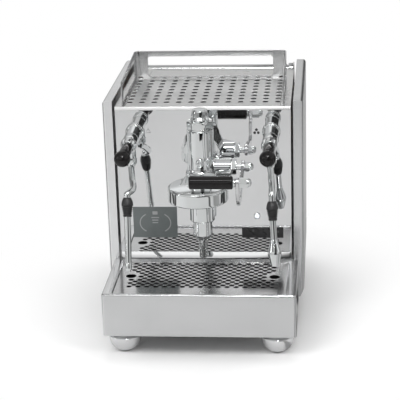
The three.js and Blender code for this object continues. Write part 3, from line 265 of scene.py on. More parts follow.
def inset(loop, distance):
    """Moves a counter-clockwise loop inward, each corner by distance (a + b) / (1 + a.b), where a and b are
    the inward normals of its sides."""
    u, w = normalised(loop - np.roll(loop, 1, 0)), normalised(np.roll(loop, -1, 0) - loop)
    a, b = np.stack([-u[:, 1], u[:, 0]], 1), np.stack([-w[:, 1], w[:, 0]], 1)
    return loop + (a + b) * (distance / (1 + np.sum(a * b, 1)))[:, None]


def filled(loops, height):
    """Triangles between an outline and its convex holes. The triangulation fills the holes too, so those
    whose centre lies left of all sides of a hole are taken out."""
    inside_outline, tolerance = 2, 1e-6
    starts = np.cumsum([0] + [len(loop) for loop in loops])
    rings = [np.arange(a, b) for a, b in zip(starts, starts[1:])]
    edges = np.concatenate([np.stack([ring, np.roll(ring, -1)], 1) for ring in rings]).tolist()
    flat = [Vector(p) for p in np.concatenate(loops)]
    made, _, triangles, _, _, _ = delaunay_2d_cdt(flat, edges, [], inside_outline, tolerance)
    made, triangles = np.array([tuple(p) for p in made]), np.array(triangles)
    centres = made[triangles].mean(1)[:, None]
    for hole in loops[1:]:
        side, off = np.roll(hole, -1, 0) - hole, centres - hole
        outside = np.any(side[:, 0] * off[..., 1] <= side[:, 1] * off[..., 0], 1)
        triangles, centres = triangles[outside], centres[outside]
    return at_height(made, height), triangles.tolist()


def at_height(loop, height):
    return np.column_stack([loop, np.full(len(loop), height)])


def reversed_faces(form):
    points, faces = form
    return points, [face[::-1] for face in faces]


def plate(outline, holes, low, high, chamfer):
    """A flat plate from low to high with a chamfer at the high edges of its outline and holes, which are all
    counter-clockwise."""
    wide = [np.array(loop, float) for loop in (outline, *holes)]
    tight = [inset(wide[0], chamfer)] + [inset(hole, -chamfer) for hole in wide[1:]]
    forms = [filled(tight, high), reversed_faces(filled(wide, low))]
    for loop, top in zip(wide, tight):
        points = np.concatenate([at_height(loop, low), at_height(loop, high - chamfer), at_height(top, high)])
        wall = points, grid_faces(3, len(loop))
        forms.append(wall if loop is wide[0] else reversed_faces(wall))
    return merged(forms)


# Materials
def feed(tree, inputs, values):
    """Gives the inputs of a node their values, or links them where a socket is given."""
    for key, value in values.items():
        if isinstance(value, bpy.types.NodeSocket):
            tree.links.new(value, inputs[key])
        else:
            inputs[key].default_value = value


def node(tree, kind, values=(), **settings):
    """Adds a shader node with its settings and inputs, and gives its outputs."""
    made = tree.nodes.new("ShaderNode" + kind)
    for key, value in settings.items():
        setattr(made, key, value)
    feed(tree, made.inputs, dict(values))
    return made.outputs


def maths(tree, operation, *values):
    return node(tree, "Math", dict(enumerate(values)), operation=operation)[0]


def mixed(tree, share, a, b, kind="MIX"):
    return node(tree, "Mix", {"Factor": share, "A": a, "B": b}, data_type="RGBA", blend_type=kind)["Result"]


def spread(tree, value, low, high, **more):
    """From 0 at low to 1 at high."""
    values = {"Value": value, "From Min": low, "From Max": high}
    return node(tree, "MapRange", values, **more)["Result"]


def grey(level):
    return (level, level, level, 1)


def new_material(name):
    material = bpy.data.materials.new(name)
    material.use_nodes = True
    return material, material.node_tree


def marks_group():
    """Cloudy smudges, drawn-out lines and grain for metal and plastic. Gives values only."""
    tree = bpy.data.node_groups.new("surface_marks", "ShaderNodeTree")
    tree.interface.new_socket("Stretch", in_out="INPUT", socket_type="NodeSocketVector")
    tree.interface.new_socket("Grain", in_out="INPUT", socket_type="NodeSocketFloat")
    for label in ("Clouds", "Lines", "Height"):
        tree.interface.new_socket(label, in_out="OUTPUT", socket_type="NodeSocketFloat")
    given, result = tree.nodes.new("NodeGroupInput").outputs, tree.nodes.new("NodeGroupOutput").inputs
    place = node(tree, "TexCoord")["Object"]
    drawn = node(tree, "VectorMath", {0: place, 1: given["Stretch"]}, operation="MULTIPLY")[0]
    clouds = node(tree, "TexNoise", {"Vector": place, "Scale": 17.0, "Detail": 5.0, "Distortion": 0.6})["Fac"]
    lines = node(tree, "TexNoise", {"Vector": drawn, "Scale": 1.0, "Detail": 6.0, "Roughness": 0.7})["Fac"]
    grain = node(tree, "TexNoise", {"Vector": place, "Scale": given["Grain"], "Detail": 3.0})["Fac"]
    height = maths(tree, "MULTIPLY_ADD", lines, 0.5, grain)
    feed(tree, result, {"Clouds": clouds, "Lines": lines, "Height": height})
    return tree


MARKS = marks_group()
CLOUD_LOW, CLOUD_HIGH = 0.3, 0.7
LINE_SHARE = 0.5


def shader_inputs(material):
    return material.node_tree.nodes["Principled BSDF"].inputs


def finish(name, dark, light, metallic, rough, stretch, grain, bump, ior=1.5):
    """Principled material. Smudges and stretched lines set the tone between dark and light, smudges set the
    roughness between the two values of rough, and lines and grain raise the surface by bump."""
    material, tree = new_material(name)
    marks = node(tree, "Group", {"Stretch": stretch, "Grain": grain}, node_tree=MARKS)
    both = maths(tree, "MULTIPLY_ADD", marks["Lines"], LINE_SHARE, marks["Clouds"])
    share = spread(tree, both, CLOUD_LOW, CLOUD_LOW + (CLOUD_HIGH - CLOUD_LOW) * (1 + LINE_SHARE))
    tone = mixed(tree, share, (*dark, 1), (*light, 1))
    low, high = rough
    values = {"Value": marks["Clouds"], "From Min": CLOUD_LOW, "From Max": CLOUD_HIGH}
    roughness = node(tree, "MapRange", values | {"To Min": low, "To Max": high})["Result"]
    normal = node(tree, "Bump", {"Strength": bump, "Distance": 0.0004, "Height": marks["Height"]})["Normal"]
    values = {"Metallic": metallic, "IOR": ior, "Base Color": tone, "Roughness": roughness, "Normal": normal}
    feed(tree, shader_inputs(material), values)
    return material


def paint_shade_below(material, tone, below, front=-1000.0, back=1000.0):
    """Paints shade: another, darker tone for what lies below a height and between front and back."""
    tree, inputs = material.node_tree, shader_inputs(material)
    plain = inputs["Base Color"].links[0].from_socket
    place = node(tree, "SeparateXYZ", {0: node(tree, "TexCoord")["Object"]})
    shade_mask = 1.0
    limits = (("Z", "LESS_THAN", below), ("Y", "GREATER_THAN", front), ("Y", "LESS_THAN", back))
    for axis, side, limit in limits:
        shade_mask = maths(tree, "MULTIPLY", maths(tree, side, place[axis], limit * MM), shade_mask)
    feed(tree, inputs, {"Base Color": mixed(tree, shade_mask, plain, grey(tone))})


# A slightly blue and a slightly yellow grey
def cool(level):
    return (level, level + 0.005, level + 0.01)


def warm(level):
    return (level, level, level - 0.005)


# Name, dark and light tone, metallic, range of roughness, stretch of the lines, grain, bump
POLISHED = finish("polished_steel", cool(.7), cool(.8), 1, (.1, .2), (25, 900, 25), 700, .03)
SHEET_X = finish("polished_front", cool(.71), cool(.81), 1, (.17, .27), (900, 14, 14), 800, .03)
SHEET_Z = finish("polished_sheet", cool(.66), cool(.78), 1, (.16, .27), (14, 14, 900), 800, .03)
# Painted light: the left side panel's sheet is a lighter copy of the right panel's, for the light on that
# side
SHEET_LEFT_LIT = finish("left_sheet_painted_light", cool(.86), cool(.95), 1, (.16, .27), (14, 14, 900), 800, .03)
# Painted light: the cover's fold is a lighter copy of the cover's steel
FOLD_LIT = finish("folded_edge_painted_light", warm(.84), warm(.9), 1, (.26, .34), (25, 25, 25), 800, 0)
MIRROR = finish("mirror_steel", cool(.79), cool(.85), 1, (.015, .04), (30, 30, 30), 300, 0)
CHROME = finish("chrome_plate", (.76, .78, .78), (.84, .86, .86), 1, (.02, .07), (40, 40, 40), 500, .006)
FOOT = finish("foot_chrome", cool(.86), cool(.93), .75, (.04, .08), (40, 40, 40), 500, 0)
BAR = finish("bar_steel", (.66, .67, .67), (.74, .75, .75), 1, (.14, .2), (40, 40, 40), 500, 0)
RAIL = finish("rail_steel", cool(.56), cool(.72), 1, (.14, .26), (25, 25, 500), 700, .03)
BRUSHED = finish("brushed_steel", cool(.52), cool(.66), 1, (.28, .42), (12, 700, 700), 900, .06)
# Painted shade: the drip tub's steel is near black, for the shade under the grate
TUB_SHADE = finish("tub_steel_painted_shade", (.045, .045, .047), (.09, .09, .093), 1, (.35, .5), (60, 60, 60), 700, .05)
LID = finish("lid_steel", warm(.7), warm(.79), 1, (.24, .34), (25, 700, 25), 800, .03)
CUP = finish("cup_plate_steel", warm(.72), warm(.81), 1, (.27, .36), (25, 700, 25), 800, .03)
GRATE = finish("grate_steel", (.55, .55, .55), (.68, .68, .68), 1, (.12, .22), (25, 700, 25), 800, .03)
COVER = finish("cover_steel", warm(.7), warm(.79), 1, (.2, .3), (25, 700, 25), 800, .03)
COPPER = finish("copper", (.5, .22, .11), (.78, .42, .25), 1, (.22, .45), (60, 60, 60), 500, .08)
BRASS = finish("brass", (.55, .38, .16), (.76, .6, .32), 1, (.2, .35), (200, 200, 200), 500, .05)
PHENOLIC = finish(
    "black_phenolic", (.004, .0035, .0035), (.01, .009, .009), 0, (.04, .08), (50, 50, 50), 600, .02, 1.38,
)
RUBBER = finish("black_rubber", (.015, .015, .015), (.032, .032, .033), 0, (.32, .45), (90, 90, 90), 2200, .2)
GREY = finish("grey_plastic", (.3, .32, .33), (.38, .4, .41), 0, (.45, .6), (60, 60, 60), 1800, .15)
TANK = finish("tank_plastic", (.66, .7, .72), (.76, .8, .82), 0, (.3, .42), (20, 20, 20), 900, .05)
BLACK = finish("black_plastic", (.008, .008, .009), (.02, .02, .022), 0, (.35, .5), (60, 60, 60), 1800, .2)
CARD = finish("grey_card", (.105, .125, .125), (.17, .19, .19), 0, (.3, .42), (10, 10, 60), 600, .02)
PLATE_DARK = finish("dark_plate", (.012, .012, .012), (.03, .03, .031), 0, (.2, .32), (10, 10, 500), 700, .03)
INK = finish("dark_mark", (.02, .02, .02), (.04, .04, .04), 0, (.35, .5), (60, 60, 60), 900, 0)
PALE_INK = finish("pale_mark", (.36, .37, .37), (.46, .47, .47), .2, (.35, .5), (60, 60, 60), 900, 0)
LENS = finish("lamp_lens", (.86, .9, .95), (.96, .98, 1), 0, (.1, .2), (60, 60, 60), 600, .01)
feed(LENS.node_tree, shader_inputs(LENS), {"Emission Color": (0.9, 0.95, 1.0, 1), "Emission Strength": 0.7})

# Painted shade on the walls of the small holes and the well under the cup plate and the lid, which
# would mirror white
paint_shade_below(CUP, 0.006, 327.7)
paint_shade_below(GRATE, 0.01, 92.1)
paint_shade_below(COVER, 0.006, 326.7, back=aft(160))
paint_shade_below(COVER, 0.10, 326.7, front=aft(227))

CAD_FINISH = {
    BRUSHED: ("base_pan", "rear_panel", "boiler_cradle", "mounting_plate", "shower_screen"),
    TUB_SHADE: ("drip_tub",),
    SHEET_Z: ("side_panel_right",),
    SHEET_LEFT_LIT: ("side_panel_left",),
    COVER: ("top_cover",),
    MIRROR: ("front_panel",),
    CHROME: ("steam_wand_ball", "water_wand_ball", "steam_pivot", "water_pivot"),
    COPPER: ("boiler", "steam_pipe", "water_pipe", "group_pipes", "pump_pipe"),
    BRASS: ("heating_element", "group_nut"),
    RUBBER: ("tank_hose", "group_gasket"),
    GREY: ("pump", "control_box"),
    TANK: ("water_tank",),
    BLACK: ("mains_inlet", "switch_frame", "switch_rocker"),
}


def dress_cad():
    """Gives the CAD nodes that stay their finishes."""
    for material, names in CAD_FINISH.items():
        for name in names:
            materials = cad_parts[name].data.materials
            materials.clear()
            materials.append(material)


# Plates
def cup_plate():
    """104 round holes in 13 columns and 8 rows on a sheet 1.2 mm thick with a fine edge."""
    pitch, top = 18.0, 328.0
    outline = round_rect(-112, 112, aft(3.3), aft(158), 1.5)
    spots = [((column - 6) * pitch, aft(26 + pitch * row)) for row in range(8) for column in range(13)]
    holes = [circle(*spot, 4.2, 20) for spot in spots]
    form = plate(outline, holes, top - 1.2, top, 0.3)
    piece("cup_plate_sheet", form, CUP, "cup_plate", "cup_plate")


def tank_lid():
    """A flat lid with round corners on the cover's ledge, as large as its seat allows."""
    low, high = (np.array(corner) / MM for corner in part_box("tank_lid"))
    form = plate(round_rect(low[0], high[0], low[1], high[1], 3.0), [], high[2] - 1.2, high[2], 0.3)
    piece("tank_lid_sheet", form, LID, "tank_lid", "tank_lid")


def cover_fold():
    """The cover's front edge: a fold 5 mm high whose face leans back."""
    chain = [(-1.6, 328.25), (0.2, 328.25), (2.2, 323.2), (0.5, 323.2), (0.3, 327), (-1.6, 328.1)]
    reach, height = rounded(chain, [0, .7, .4, .1, .3, 0], 4).T
    rings = [np.stack([np.full_like(reach, x), fwd(reach), height], 1) for x in (-126.6, 126.6)]
    piece("cover_front_fold", lofted(np.array(rings)), FOLD_LIT)


def drip_grate():
    """Rows of round holes, every second row offset by half of the pitch, clear of the two wider holes."""
    pitch, row_pitch, wide_x, wide_reach = 12.75, 6.25, 104, 66
    outline = round_rect(-121.85, 121.85, fwd(134.7), fwd(9.9), 2.0)
    holes = [circle(side * wide_x, fwd(wide_reach), 7.3, 32) for side in (-1, 1)]
    for row in range(15):
        columns = 17 - row % 2
        for column in range(columns):
            x, reach = (column - (columns - 1) / 2) * pitch, 17.5 + row * row_pitch
            if math.hypot(abs(x) - wide_x, reach - wide_reach) > 11.8:
                holes.append(circle(x, fwd(reach), 3.75, 16))
    piece("drip_grate_sheet", plate(outline, holes, 90.9, 92.4, 0.3), GRATE, "drip_grate", "drip_grate")


# Sheet housing
def cup_rail():
    """A strip bent round three sides of the cup plate. Columns of four heights follow a U-shaped run, and the
    middle band is left open along the three slots, whose corners have a radius of 4 mm."""
    half, near, far, bend, thick, ease = 117.0, aft(6), aft(162), 8.0, 1.5, 4.0
    foot, sill, head = 328.4, 333.4, 8.6
    straight, corner = far - bend - near, bend * math.pi / 2
    middle = straight + corner + half - bend
    total = 2 * middle
    slots = [(12.0, straight - 6.0), (middle - 96.5, middle + 96.5), (total - straight + 6.0, total - 12.0)]
    round_end = ease * (1 - np.cos(np.arange(8) * math.pi / 14))
    round_bend = straight + corner * np.arange(8) / 7
    run = [0.0, total, *round_bend, *(total - round_bend)]
    for a, b in slots:
        run += [*(a + round_end), *(b - round_end), *np.linspace(a + ease, b - ease, 12)]
    run = np.unique(np.round(run, 4))
    from_end = np.minimum(run, total - run)

    def spot(inward):
        """x and y along the run: straight, round the bend, then along the back."""
        angle = np.clip((from_end - straight) / bend, 0, math.pi / 2)
        x = half - bend + (bend - inward) * np.cos(angle) - np.maximum(from_end - straight - corner, 0)
        y = near + np.minimum(from_end, straight) + (bend - inward) * np.sin(angle)
        return np.where(run < middle, x, -x), y

    into = np.max([np.minimum(run - a, b - run) for a, b in slots], 0)
    cut = ease - np.sqrt(ease ** 2 - (ease - np.clip(into, 0, ease)) ** 2)
    top = 363.0 + 10.0 * np.minimum(from_end / straight, 1.0)
    heights = (np.full_like(run, foot), sill + cut, top - head - cut, top)
    points = np.stack([np.stack([*spot(inward), z], 1) for z in heights for inward in (0.0, thick)], 1)
    centre = (run[:-1] + run[1:]) / 2
    gap = np.any([(a < centre) & (centre < b) for a, b in slots], 0)
    faces = []
    for ring, spans in (((0, 2, 4, 6, 7, 5, 3, 1), ~gap), ((0, 2, 3, 1), gap), ((4, 6, 7, 5), gap)):
        here, p, q = 8 * np.flatnonzero(spans)[:, None], np.array(ring), np.roll(ring, -1)
        faces += np.stack([here + p, here + 8 + p, here + 8 + q, here + q], -1).reshape(-1, 4).tolist()
    ends = [(0.0, row, 1) for row in (0, 2, 4)] + [(total, row, -1) for row in (0, 2, 4)]
    ends += [(a, 2, -1) for a, _ in slots] + [(b, 2, 1) for _, b in slots]
    for place, row, order in ends:
        here = 8 * int(np.abs(run - place).argmin())
        faces.append([here + row, here + row + 2, here + row + 3, here + row + 1][::order])
    piece("cup_rail_sheet", (points.reshape(-1, 3), faces), RAIL, "cup_rail", smooth=40, bevel=0.35)


def rear_bar():
    """A turned bar of radius 7.3 with a grooved collar at either end."""
    end = 125.0
    groove, collar = end - 9.5, end - 7.2
    chain = [(7.3, 0), (7.3, groove), (6.3, groove), (6.3, collar), (9.3, collar), (9.3, end), (0, end)]
    right = rounded(chain, [0, .3, .2, .2, 1.2, .8, 0])
    profile = np.concatenate([right[:0:-1] * [1, -1], right])
    form = placed(turned(profile, 48), "right", (0, aft(240), 324.5))
    piece("rear_bar_turned", form, BAR, "rear_bar")


def drip_housing():
    """Folded sheet box with a floor and a broad top flange with a lip turned down, 4 mm lower at the back."""
    half, near, far, low, top, thick = 136.75, fwd(141), fwd(0.6), 31.3, 94.6, 1.5
    open_half, open_near, open_far = 122.15, fwd(135), fwd(9.6)
    outer = round_rect(-half, half, near, far, 4.5)
    inner = round_rect(-open_half, open_half, open_near, open_far, 2.0)
    levels = [
        (outer, thick, low + thick), (outer, thick, low), (outer, 0, low + 0.01), (outer, 0, top - 3),
        (outer, 0.25, top - 1.6), (outer, 0.9, top - 0.6), (outer, 2.2, top),
        (inner, -1.2, top), (inner, -0.3, top - 0.3), (inner, 0, top - 1.2), (inner, 0, top - 8),
        (inner, -thick, top - 8), (inner, -thick, top - thick), (outer, thick, top - thick),
    ]
    points = np.concatenate([at_height(inset(loop, distance), z) for loop, distance, z in levels])
    x, y, z = points.T
    points[(y > open_far - 1.0) & (np.abs(x) < open_half + 0.5) & (z > top - 5), 2] -= 4.0
    folded = points, grid_faces(len(levels), len(outer), closed=True)
    edge = thick + 0.2
    left, right, front, back = edge - half, half - edge, near + edge, far - edge
    corners = [(left, front), (right, front), (right, back), (left, back)]
    floor = lofted(np.array([at_height(corners, low), at_height(corners, low + thick)]))
    piece("drip_housing_sheet", merged([folded, floor]), SHEET_X, "drip_housing", "drip_drawer", smooth=50)


def front_strip():
    """A folded bar below the front panel, its face leaning back a little, with tapered ends."""
    chain = [(0, 0), (3.9, 0), (3.8, 0.9), (0.4, 9.2), (0, 9.2)]
    depth, height = rounded(chain, [0, .4, 1.5, .3, 0], 5).T
    rings = []
    for x, share, rise in ((-126.7, 0.7, 1.3), (-122.7, 1.0, 0.0), (122.7, 1.0, 0.0), (126.7, 0.7, 1.3)):
        z = 95.3 + height + np.where(height < 4, rise, 0.0)
        rings.append(np.stack([np.full_like(depth, x), PANEL_Y - depth * share, z], 1))
    piece("front_strip_bar", lofted(np.array(rings)), MIRROR, "front_strip")


def feet():
    """Four chromed bowls, each over a rubber pad."""
    bowl = [(0, 1.2), (11.5, 1.2), (17, 4.6), (21.6, 11.5), (23.4, 19.5), (23.4, 24), (18, 26.6), (18, 28.7),
            (0, 28.7)]
    pad = [(0, 0), (10, 0), (10, 1.1), (0, 1.1)]
    for row, y in (("front", fwd(113.5)), ("rear", aft(228))):
        for side, x in (("left", -109), ("right", 109)):
            name = f"foot_{row}_{side}"
            at = (x, y, 0)
            form = lathe(bowl, [0, 1, 6, 8, 6, 2, 1.4, .4, 0], 5, 56, "up", at)
            piece(name + "_bowl", form, FOOT, name)
            piece(name + "_pad", lathe(pad, [0, .4, .2, 0], 3, 40, "up", at), RUBBER)


def pilot_light():
    """A small lens in a bezel."""
    at = (76.7, aft(1.9), 161.2)
    bezel = [(3.5, 0), (4.9, 0), (4.9, 1), (4.2, 1.5), (3.5, 1.3)]
    piece("pilot_bezel", lathe(bezel, [0, 0, .4, .3, 0], 3, 32, "front", at), CHROME)
    lens = [(0, -10), (3.3, -10), (3.3, 0.8), (2.3, 2.3), (0, 2.9)]
    form = lathe(lens, [0, .3, .6, 2, 0], 5, 32, "front", at)
    piece("pilot_lens", form, LENS, "pilot_light")


# Brew group
def smooth_min(a, b, k):
    h = np.clip(0.5 + 0.5 * (b - a) / k, 0, 1)
    return b + (a - b) * h - k * h * (1 - h)


def common(*fields):
    """Distance to what all the forms share."""
    return np.maximum.reduce(fields)


def group_field(place):
    """Distance to the casting: a flared chamber, a barrel to the panel, a bridge and the bell, blended with
    fillets, less the bell's and the cam's bores."""
    x, y, z = place[..., 0], place[..., 1], place[..., 2]
    bell_r, cam_r = np.hypot(x, y - BELL_Y), np.hypot(y - STACK_Y, z - CAM_Z)
    flare = 19.0 + 4.5 * np.clip((262 - z) / 40, 0, 1) ** 2
    stack = common(np.hypot(x, y - STACK_Y) - flare, z - 306.0, 219.0 - z)
    edge = 3.0
    crown = 240.0 + 3.2 * np.clip(1 - (bell_r / 41.0) ** 2, 0, 1)
    side, top = bell_r - 42.3 + edge, common(z - crown, 219.0 - z) + edge
    bell = np.minimum(common(side, top), 0) + np.hypot(np.maximum(side, 0), np.maximum(top, 0)) - edge
    cone = 30.0 - 4.0 * np.clip((aft(-2) - y) / 30.0, 0, 1)
    barrel = common(np.hypot(x, z - BARREL_Z) - cone, y - PANEL_Y, fwd(30) - y)
    bridge = common(np.abs(x) - 20.0, y - STACK_Y, BELL_Y - y, z - 242.0, 222.5 - z)
    boss = common(cam_r - 13.5, x - CAM_END, -x)
    plug = common(np.hypot(x, z - PLUG_Z) - 4.6, STACK_Y - 21.0 - y, y - STACK_Y)
    solid = smooth_min(stack, barrel, 5.0)
    solid = smooth_min(solid, smooth_min(bell, bridge, 7.0), 8.0)
    solid = smooth_min(solid, boss, 4.0)
    solid = smooth_min(solid, plug, 2.0)
    bore = common(bell_r - 36.0, z - 232.0)
    cam_bore = common(cam_r - 5.0, 10.0 - x)
    ledge = common(32.8 - bell_r, bell_r - 37.0, z - 222.5, 219.0 - z, 17.0 - np.abs(y - BELL_Y))
    return np.minimum(common(solid, -bore, -cam_bore), ledge)


def surface_net(field, low, high, step):
    """Dual surface of the zero level of field on a grid. A cell that it crosses gets one point, at the mean
    of the crossings on the cell's edges, then moved onto the surface along the gradient."""
    axes = [np.arange(a, b + step, step) for a, b in zip(low, high)]
    value = field(np.stack(np.meshgrid(*axes, indexing="ij"), -1))
    inside = (value < 0).astype(int)
    unit = np.eye(3, dtype=int)
    corners = np.array([(i, j, k) for i in (0, 1) for j in (0, 1) for k in (0, 1)])
    nx, ny, nz = np.array(value.shape) - 1
    filled_corners = sum(inside[i:nx + i, j:ny + j, k:nz + k] for i, j, k in corners)
    cells = (filled_corners > 0) & (filled_corners < 8)
    cell = np.argwhere(cells)
    index = -np.ones(cells.shape, int)
    index[cells] = np.arange(len(cell))
    count, place = np.zeros(len(cell)), np.zeros((len(cell), 3))
    for a in corners:
        for axis in np.flatnonzero(a == 0):
            va, vb = value[tuple((cell + a).T)], value[tuple((cell + a + unit[axis]).T)]
            crossing = (va < 0) != (vb < 0)
            t = np.where(crossing, va / np.where(crossing, va - vb, 1), 0)
            place += (cell + a + unit[axis] * t[:, None]) * crossing[:, None]
            count += crossing
    points = np.array(low) + step * place / count[:, None]
    probe, farthest, least_slope = 0.02, 0.4 * step, 0.2
    for _ in range(3):
        slopes = [field(points + probe * unit[k]) - field(points - probe * unit[k]) for k in range(3)]
        gradient = np.stack(slopes, 1) / (2 * probe)
        move = field(points) / np.maximum(np.sum(gradient * gradient, 1), least_slope)
        points = points - np.clip(move, -farthest, farthest)[:, None] * gradient
    faces = []
    for axis in range(3):
        u, w = unit[(axis + 1) % 3], unit[(axis + 2) % 3]
        change = np.diff(inside, axis=axis)
        for sign in (-1, 1):
            at = np.argwhere(change == sign)
            quad = [index[tuple((at - d).T)] for d in (u + w, w, 0 * u, u)]
            faces += np.stack(quad[::-sign], 1).tolist()
    return points, faces


def group_casting():
    """The casting, the spigot behind it, the plain plug cap in front and the hexagonal gland at the right."""
    casting = surface_net(group_field, (-46, fwd(140), 215), (48, aft(6), 311), 1.25)
    piece("group_casting", casting, CHROME, "group_body", smooth=42)
    spigot = [(0, -2), (14, -2), (14, 14.3), (0, 14.3)]
    form = lathe(spigot, [0, 0, .6, 0], 3, 32, "back", (0, PANEL_Y, BARREL_Z))
    piece("group_spigot", form, BRASS)
    cap = [(0, 0), (4.2, 0), (4.2, 1.5), (3.4, 2.2), (2.4, 2.2), (1.5, 1.2), (0, 1.2)]
    form = lathe(cap, [0, .2, .5, .3, .3, .2, 0], 4, 48, "front", (0, STACK_Y - 20.8, PLUG_Z))
    piece("group_plug_cap", form, CHROME)
    gland = [(5.2, 0), (11.4, 0), (11.4, 6), (10.2, 7), (5.2, 7)]
    form = lathe(gland, [0, 0, .6, .4, 0], 3, 72, "right", (CAM_END, STACK_Y, CAM_Z), (11.4, 0))
    piece("cam_gland", form, CHROME)


def group_parts():
    """Turned parts above and below the casting, with rounded shoulders and grooves, and the shower screen."""
    axis = (0, STACK_Y, 0)
    chain = [(0, 306.3), (18.2, 306.3), (18.2, 307.6), (17, 308), (17, 308.8), (19.6, 309), (19.6, 316.2),
             (17.4, 318.6), (0, 318.6)]
    form = lathe(chain, [0, .3, .2, .2, .2, .4, .8, .6, 0], 4, 96, "up", axis, (19.4, 0.56))
    piece("group_cap_nut", form, CHROME, "group_cap")
    chain = [(0, 318.4), (13.6, 318.4), (13.6, 321.6), (11.6, 324.4), (11.6, 325.2), (12.2, 325.6),
             (11, 333.6), (9.6, 335.2), (0, 335.3)]
    piece("group_cap_turned", lathe(chain, [0, .2, .8, .3, .2, .4, 1.2, .5, 0], 4, 72, "up", axis), CHROME)
    chain = [(0, 112.6), (3.4, 112.6), (3.6, 113), (6, 112.8), (6, 137), (8.2, 137.3), (8.2, 141.2),
             (9, 141.5), (13.7, 148.2), (13.7, 169.6), (18, 170.4), (18, 211), (17.3, 211.6), (17.3, 212.6),
             (18, 213.2), (18, 218.7), (0, 218.7)]
    radii = [0, .1, .2, .5, .4, .5, .5, .5, 1.6, .8, 1.4, .2, .2, .2, .2, .8, 0]
    piece("lower_chamber_turned", lathe(chain, radii, 4, 72, "up", axis), CHROME, "lower_chamber")
    low, high, pitch = 229.8, 231.6, 4.2
    spots = [(pitch * i + pitch / 2 * (j % 2), 3.64 * j) for i in range(-6, 7) for j in range(-7, 8)]
    holes = [circle(*spot, 0.9, 8) for spot in spots if math.hypot(*spot) < 25]
    form = placed(plate(circle(0, 0, 28.5, 48), holes, low, high, 0.2), "down", (0, BELL_Y, low + high))
    piece("shower_screen_disc", form, BRUSHED, "shower_screen")


# Lever
def acorn(start, length, at):
    """A nut along x: a chamfered hexagon and a turned dome."""
    end = start + length
    nut = [(0, start), (6.4, start), (7.0, start + 0.7), (7.0, end - 0.6), (6.2, end), (0, end)]
    dome = [(0, end - 1), (5.7, end - 1), (5.7, end + 1.6), (4.2, end + 4.4), (2, end + 5.5), (0, end + 5.5)]
    return [
        lathe(nut, [0, .2, .2, .2, .2, 0], 3, 72, "right", at, (7, 0)),
        lathe(dome, [0, 0, 1.5, 2.5, 1.2, 0], 5, 40, "right", at),
    ]


def lever_arm():
    """A flat bar in two halves with round ends. Its edge follows a spline, offset by half the bar's width."""
    length, rise, half_width = 131.0, 19.5, 5.5
    shares, rises = (0, .38, .7, .86, .97, 1), (0, -.37, -.85, -.64, .28, 1)
    centre = spline([(0, -length * a, rise * b) for a, b in zip(shares, rises)], 60)[:, 1:]
    tangent = normalised(np.gradient(centre, axis=0))
    normal = np.stack([-tangent[:, 1], tangent[:, 0]], 1)
    hub_turn, bolt_turn = math.atan2(*-tangent[0][::-1]), math.atan2(*tangent[-1][::-1])
    hub = arc(*centre[0], 9.0, hub_turn + np.radians(np.linspace(142, -142, 26)))
    bolt = arc(*centre[-1], 7.0, bolt_turn + np.radians(np.linspace(125, -125, 22)))
    above, below = (centre + normal * half_width)[4:-3], (centre - normal * half_width)[4:-3]
    outline = np.concatenate([below, bolt[::-1], above[::-1], hub[::-1]])
    holes = [circle(0, 0, 4.8, 24), circle(-length, rise, 3.3, 20)]
    points, faces = plate(outline, holes, 0.0, 2.5, 0.7)
    bar = merged([(points, faces), reversed_faces((points * [1, 1, -1], faces))])
    form = placed(bar, "side", (60, STACK_Y, CAM_Z))
    piece("lever_arm_bar", form, POLISHED, "lever_arm", "lever")


def lever_parts():
    """Turned shaft with its cam lobe, grip, and the grip's bolt."""
    hub, end = np.array([0, STACK_Y, CAM_Z]), np.array([0, fwd(170), 269.5])
    shaft = lathe([(0, 25.7), (4.5, 25.7), (4.5, 63), (0, 63)], [0, .3, 0, 0], 3, 32, "right", hub)
    lobe = lathe([(0, 11), (3.2, 11), (3.2, 26), (0, 26)], [0, .3, 0, 0], 3, 24, "right", hub - [0, 0, 1.2])
    form = merged([shaft, lobe] + acorn(62.8, 6.5, hub))
    piece("lever_shaft_turned", form, CHROME, "lever_shaft", "lever")
    grip = [(0, -4.4), (7.8, -4.4), (9, -3.2), (8.8, 24.5), (9, 52.6), (7.6, 54), (3.3, 54), (3.3, 24.3),
            (0, 24.3)]
    form = lathe(grip, [0, .6, .8, 40, .8, .6, 0, 0, 0], 6, 56, "right", end)
    piece("lever_grip_turned", form, PHENOLIC, "lever_grip", "lever")
    collar = lathe([(0, 54.3), (6, 54.3), (6, 57.2), (0, 57.2)], [0, .6, .6, 0], 3, 40, "right", end)
    bolt = lathe([(0, 24.6), (3, 24.6), (3, 63), (0, 63)], [0, .3, 0, 0], 3, 24, "right", end)
    form = merged([collar, bolt] + acorn(62.8, 10.7, end))
    piece("lever_bolt_turned", form, CHROME, "lever_bolt", "lever")


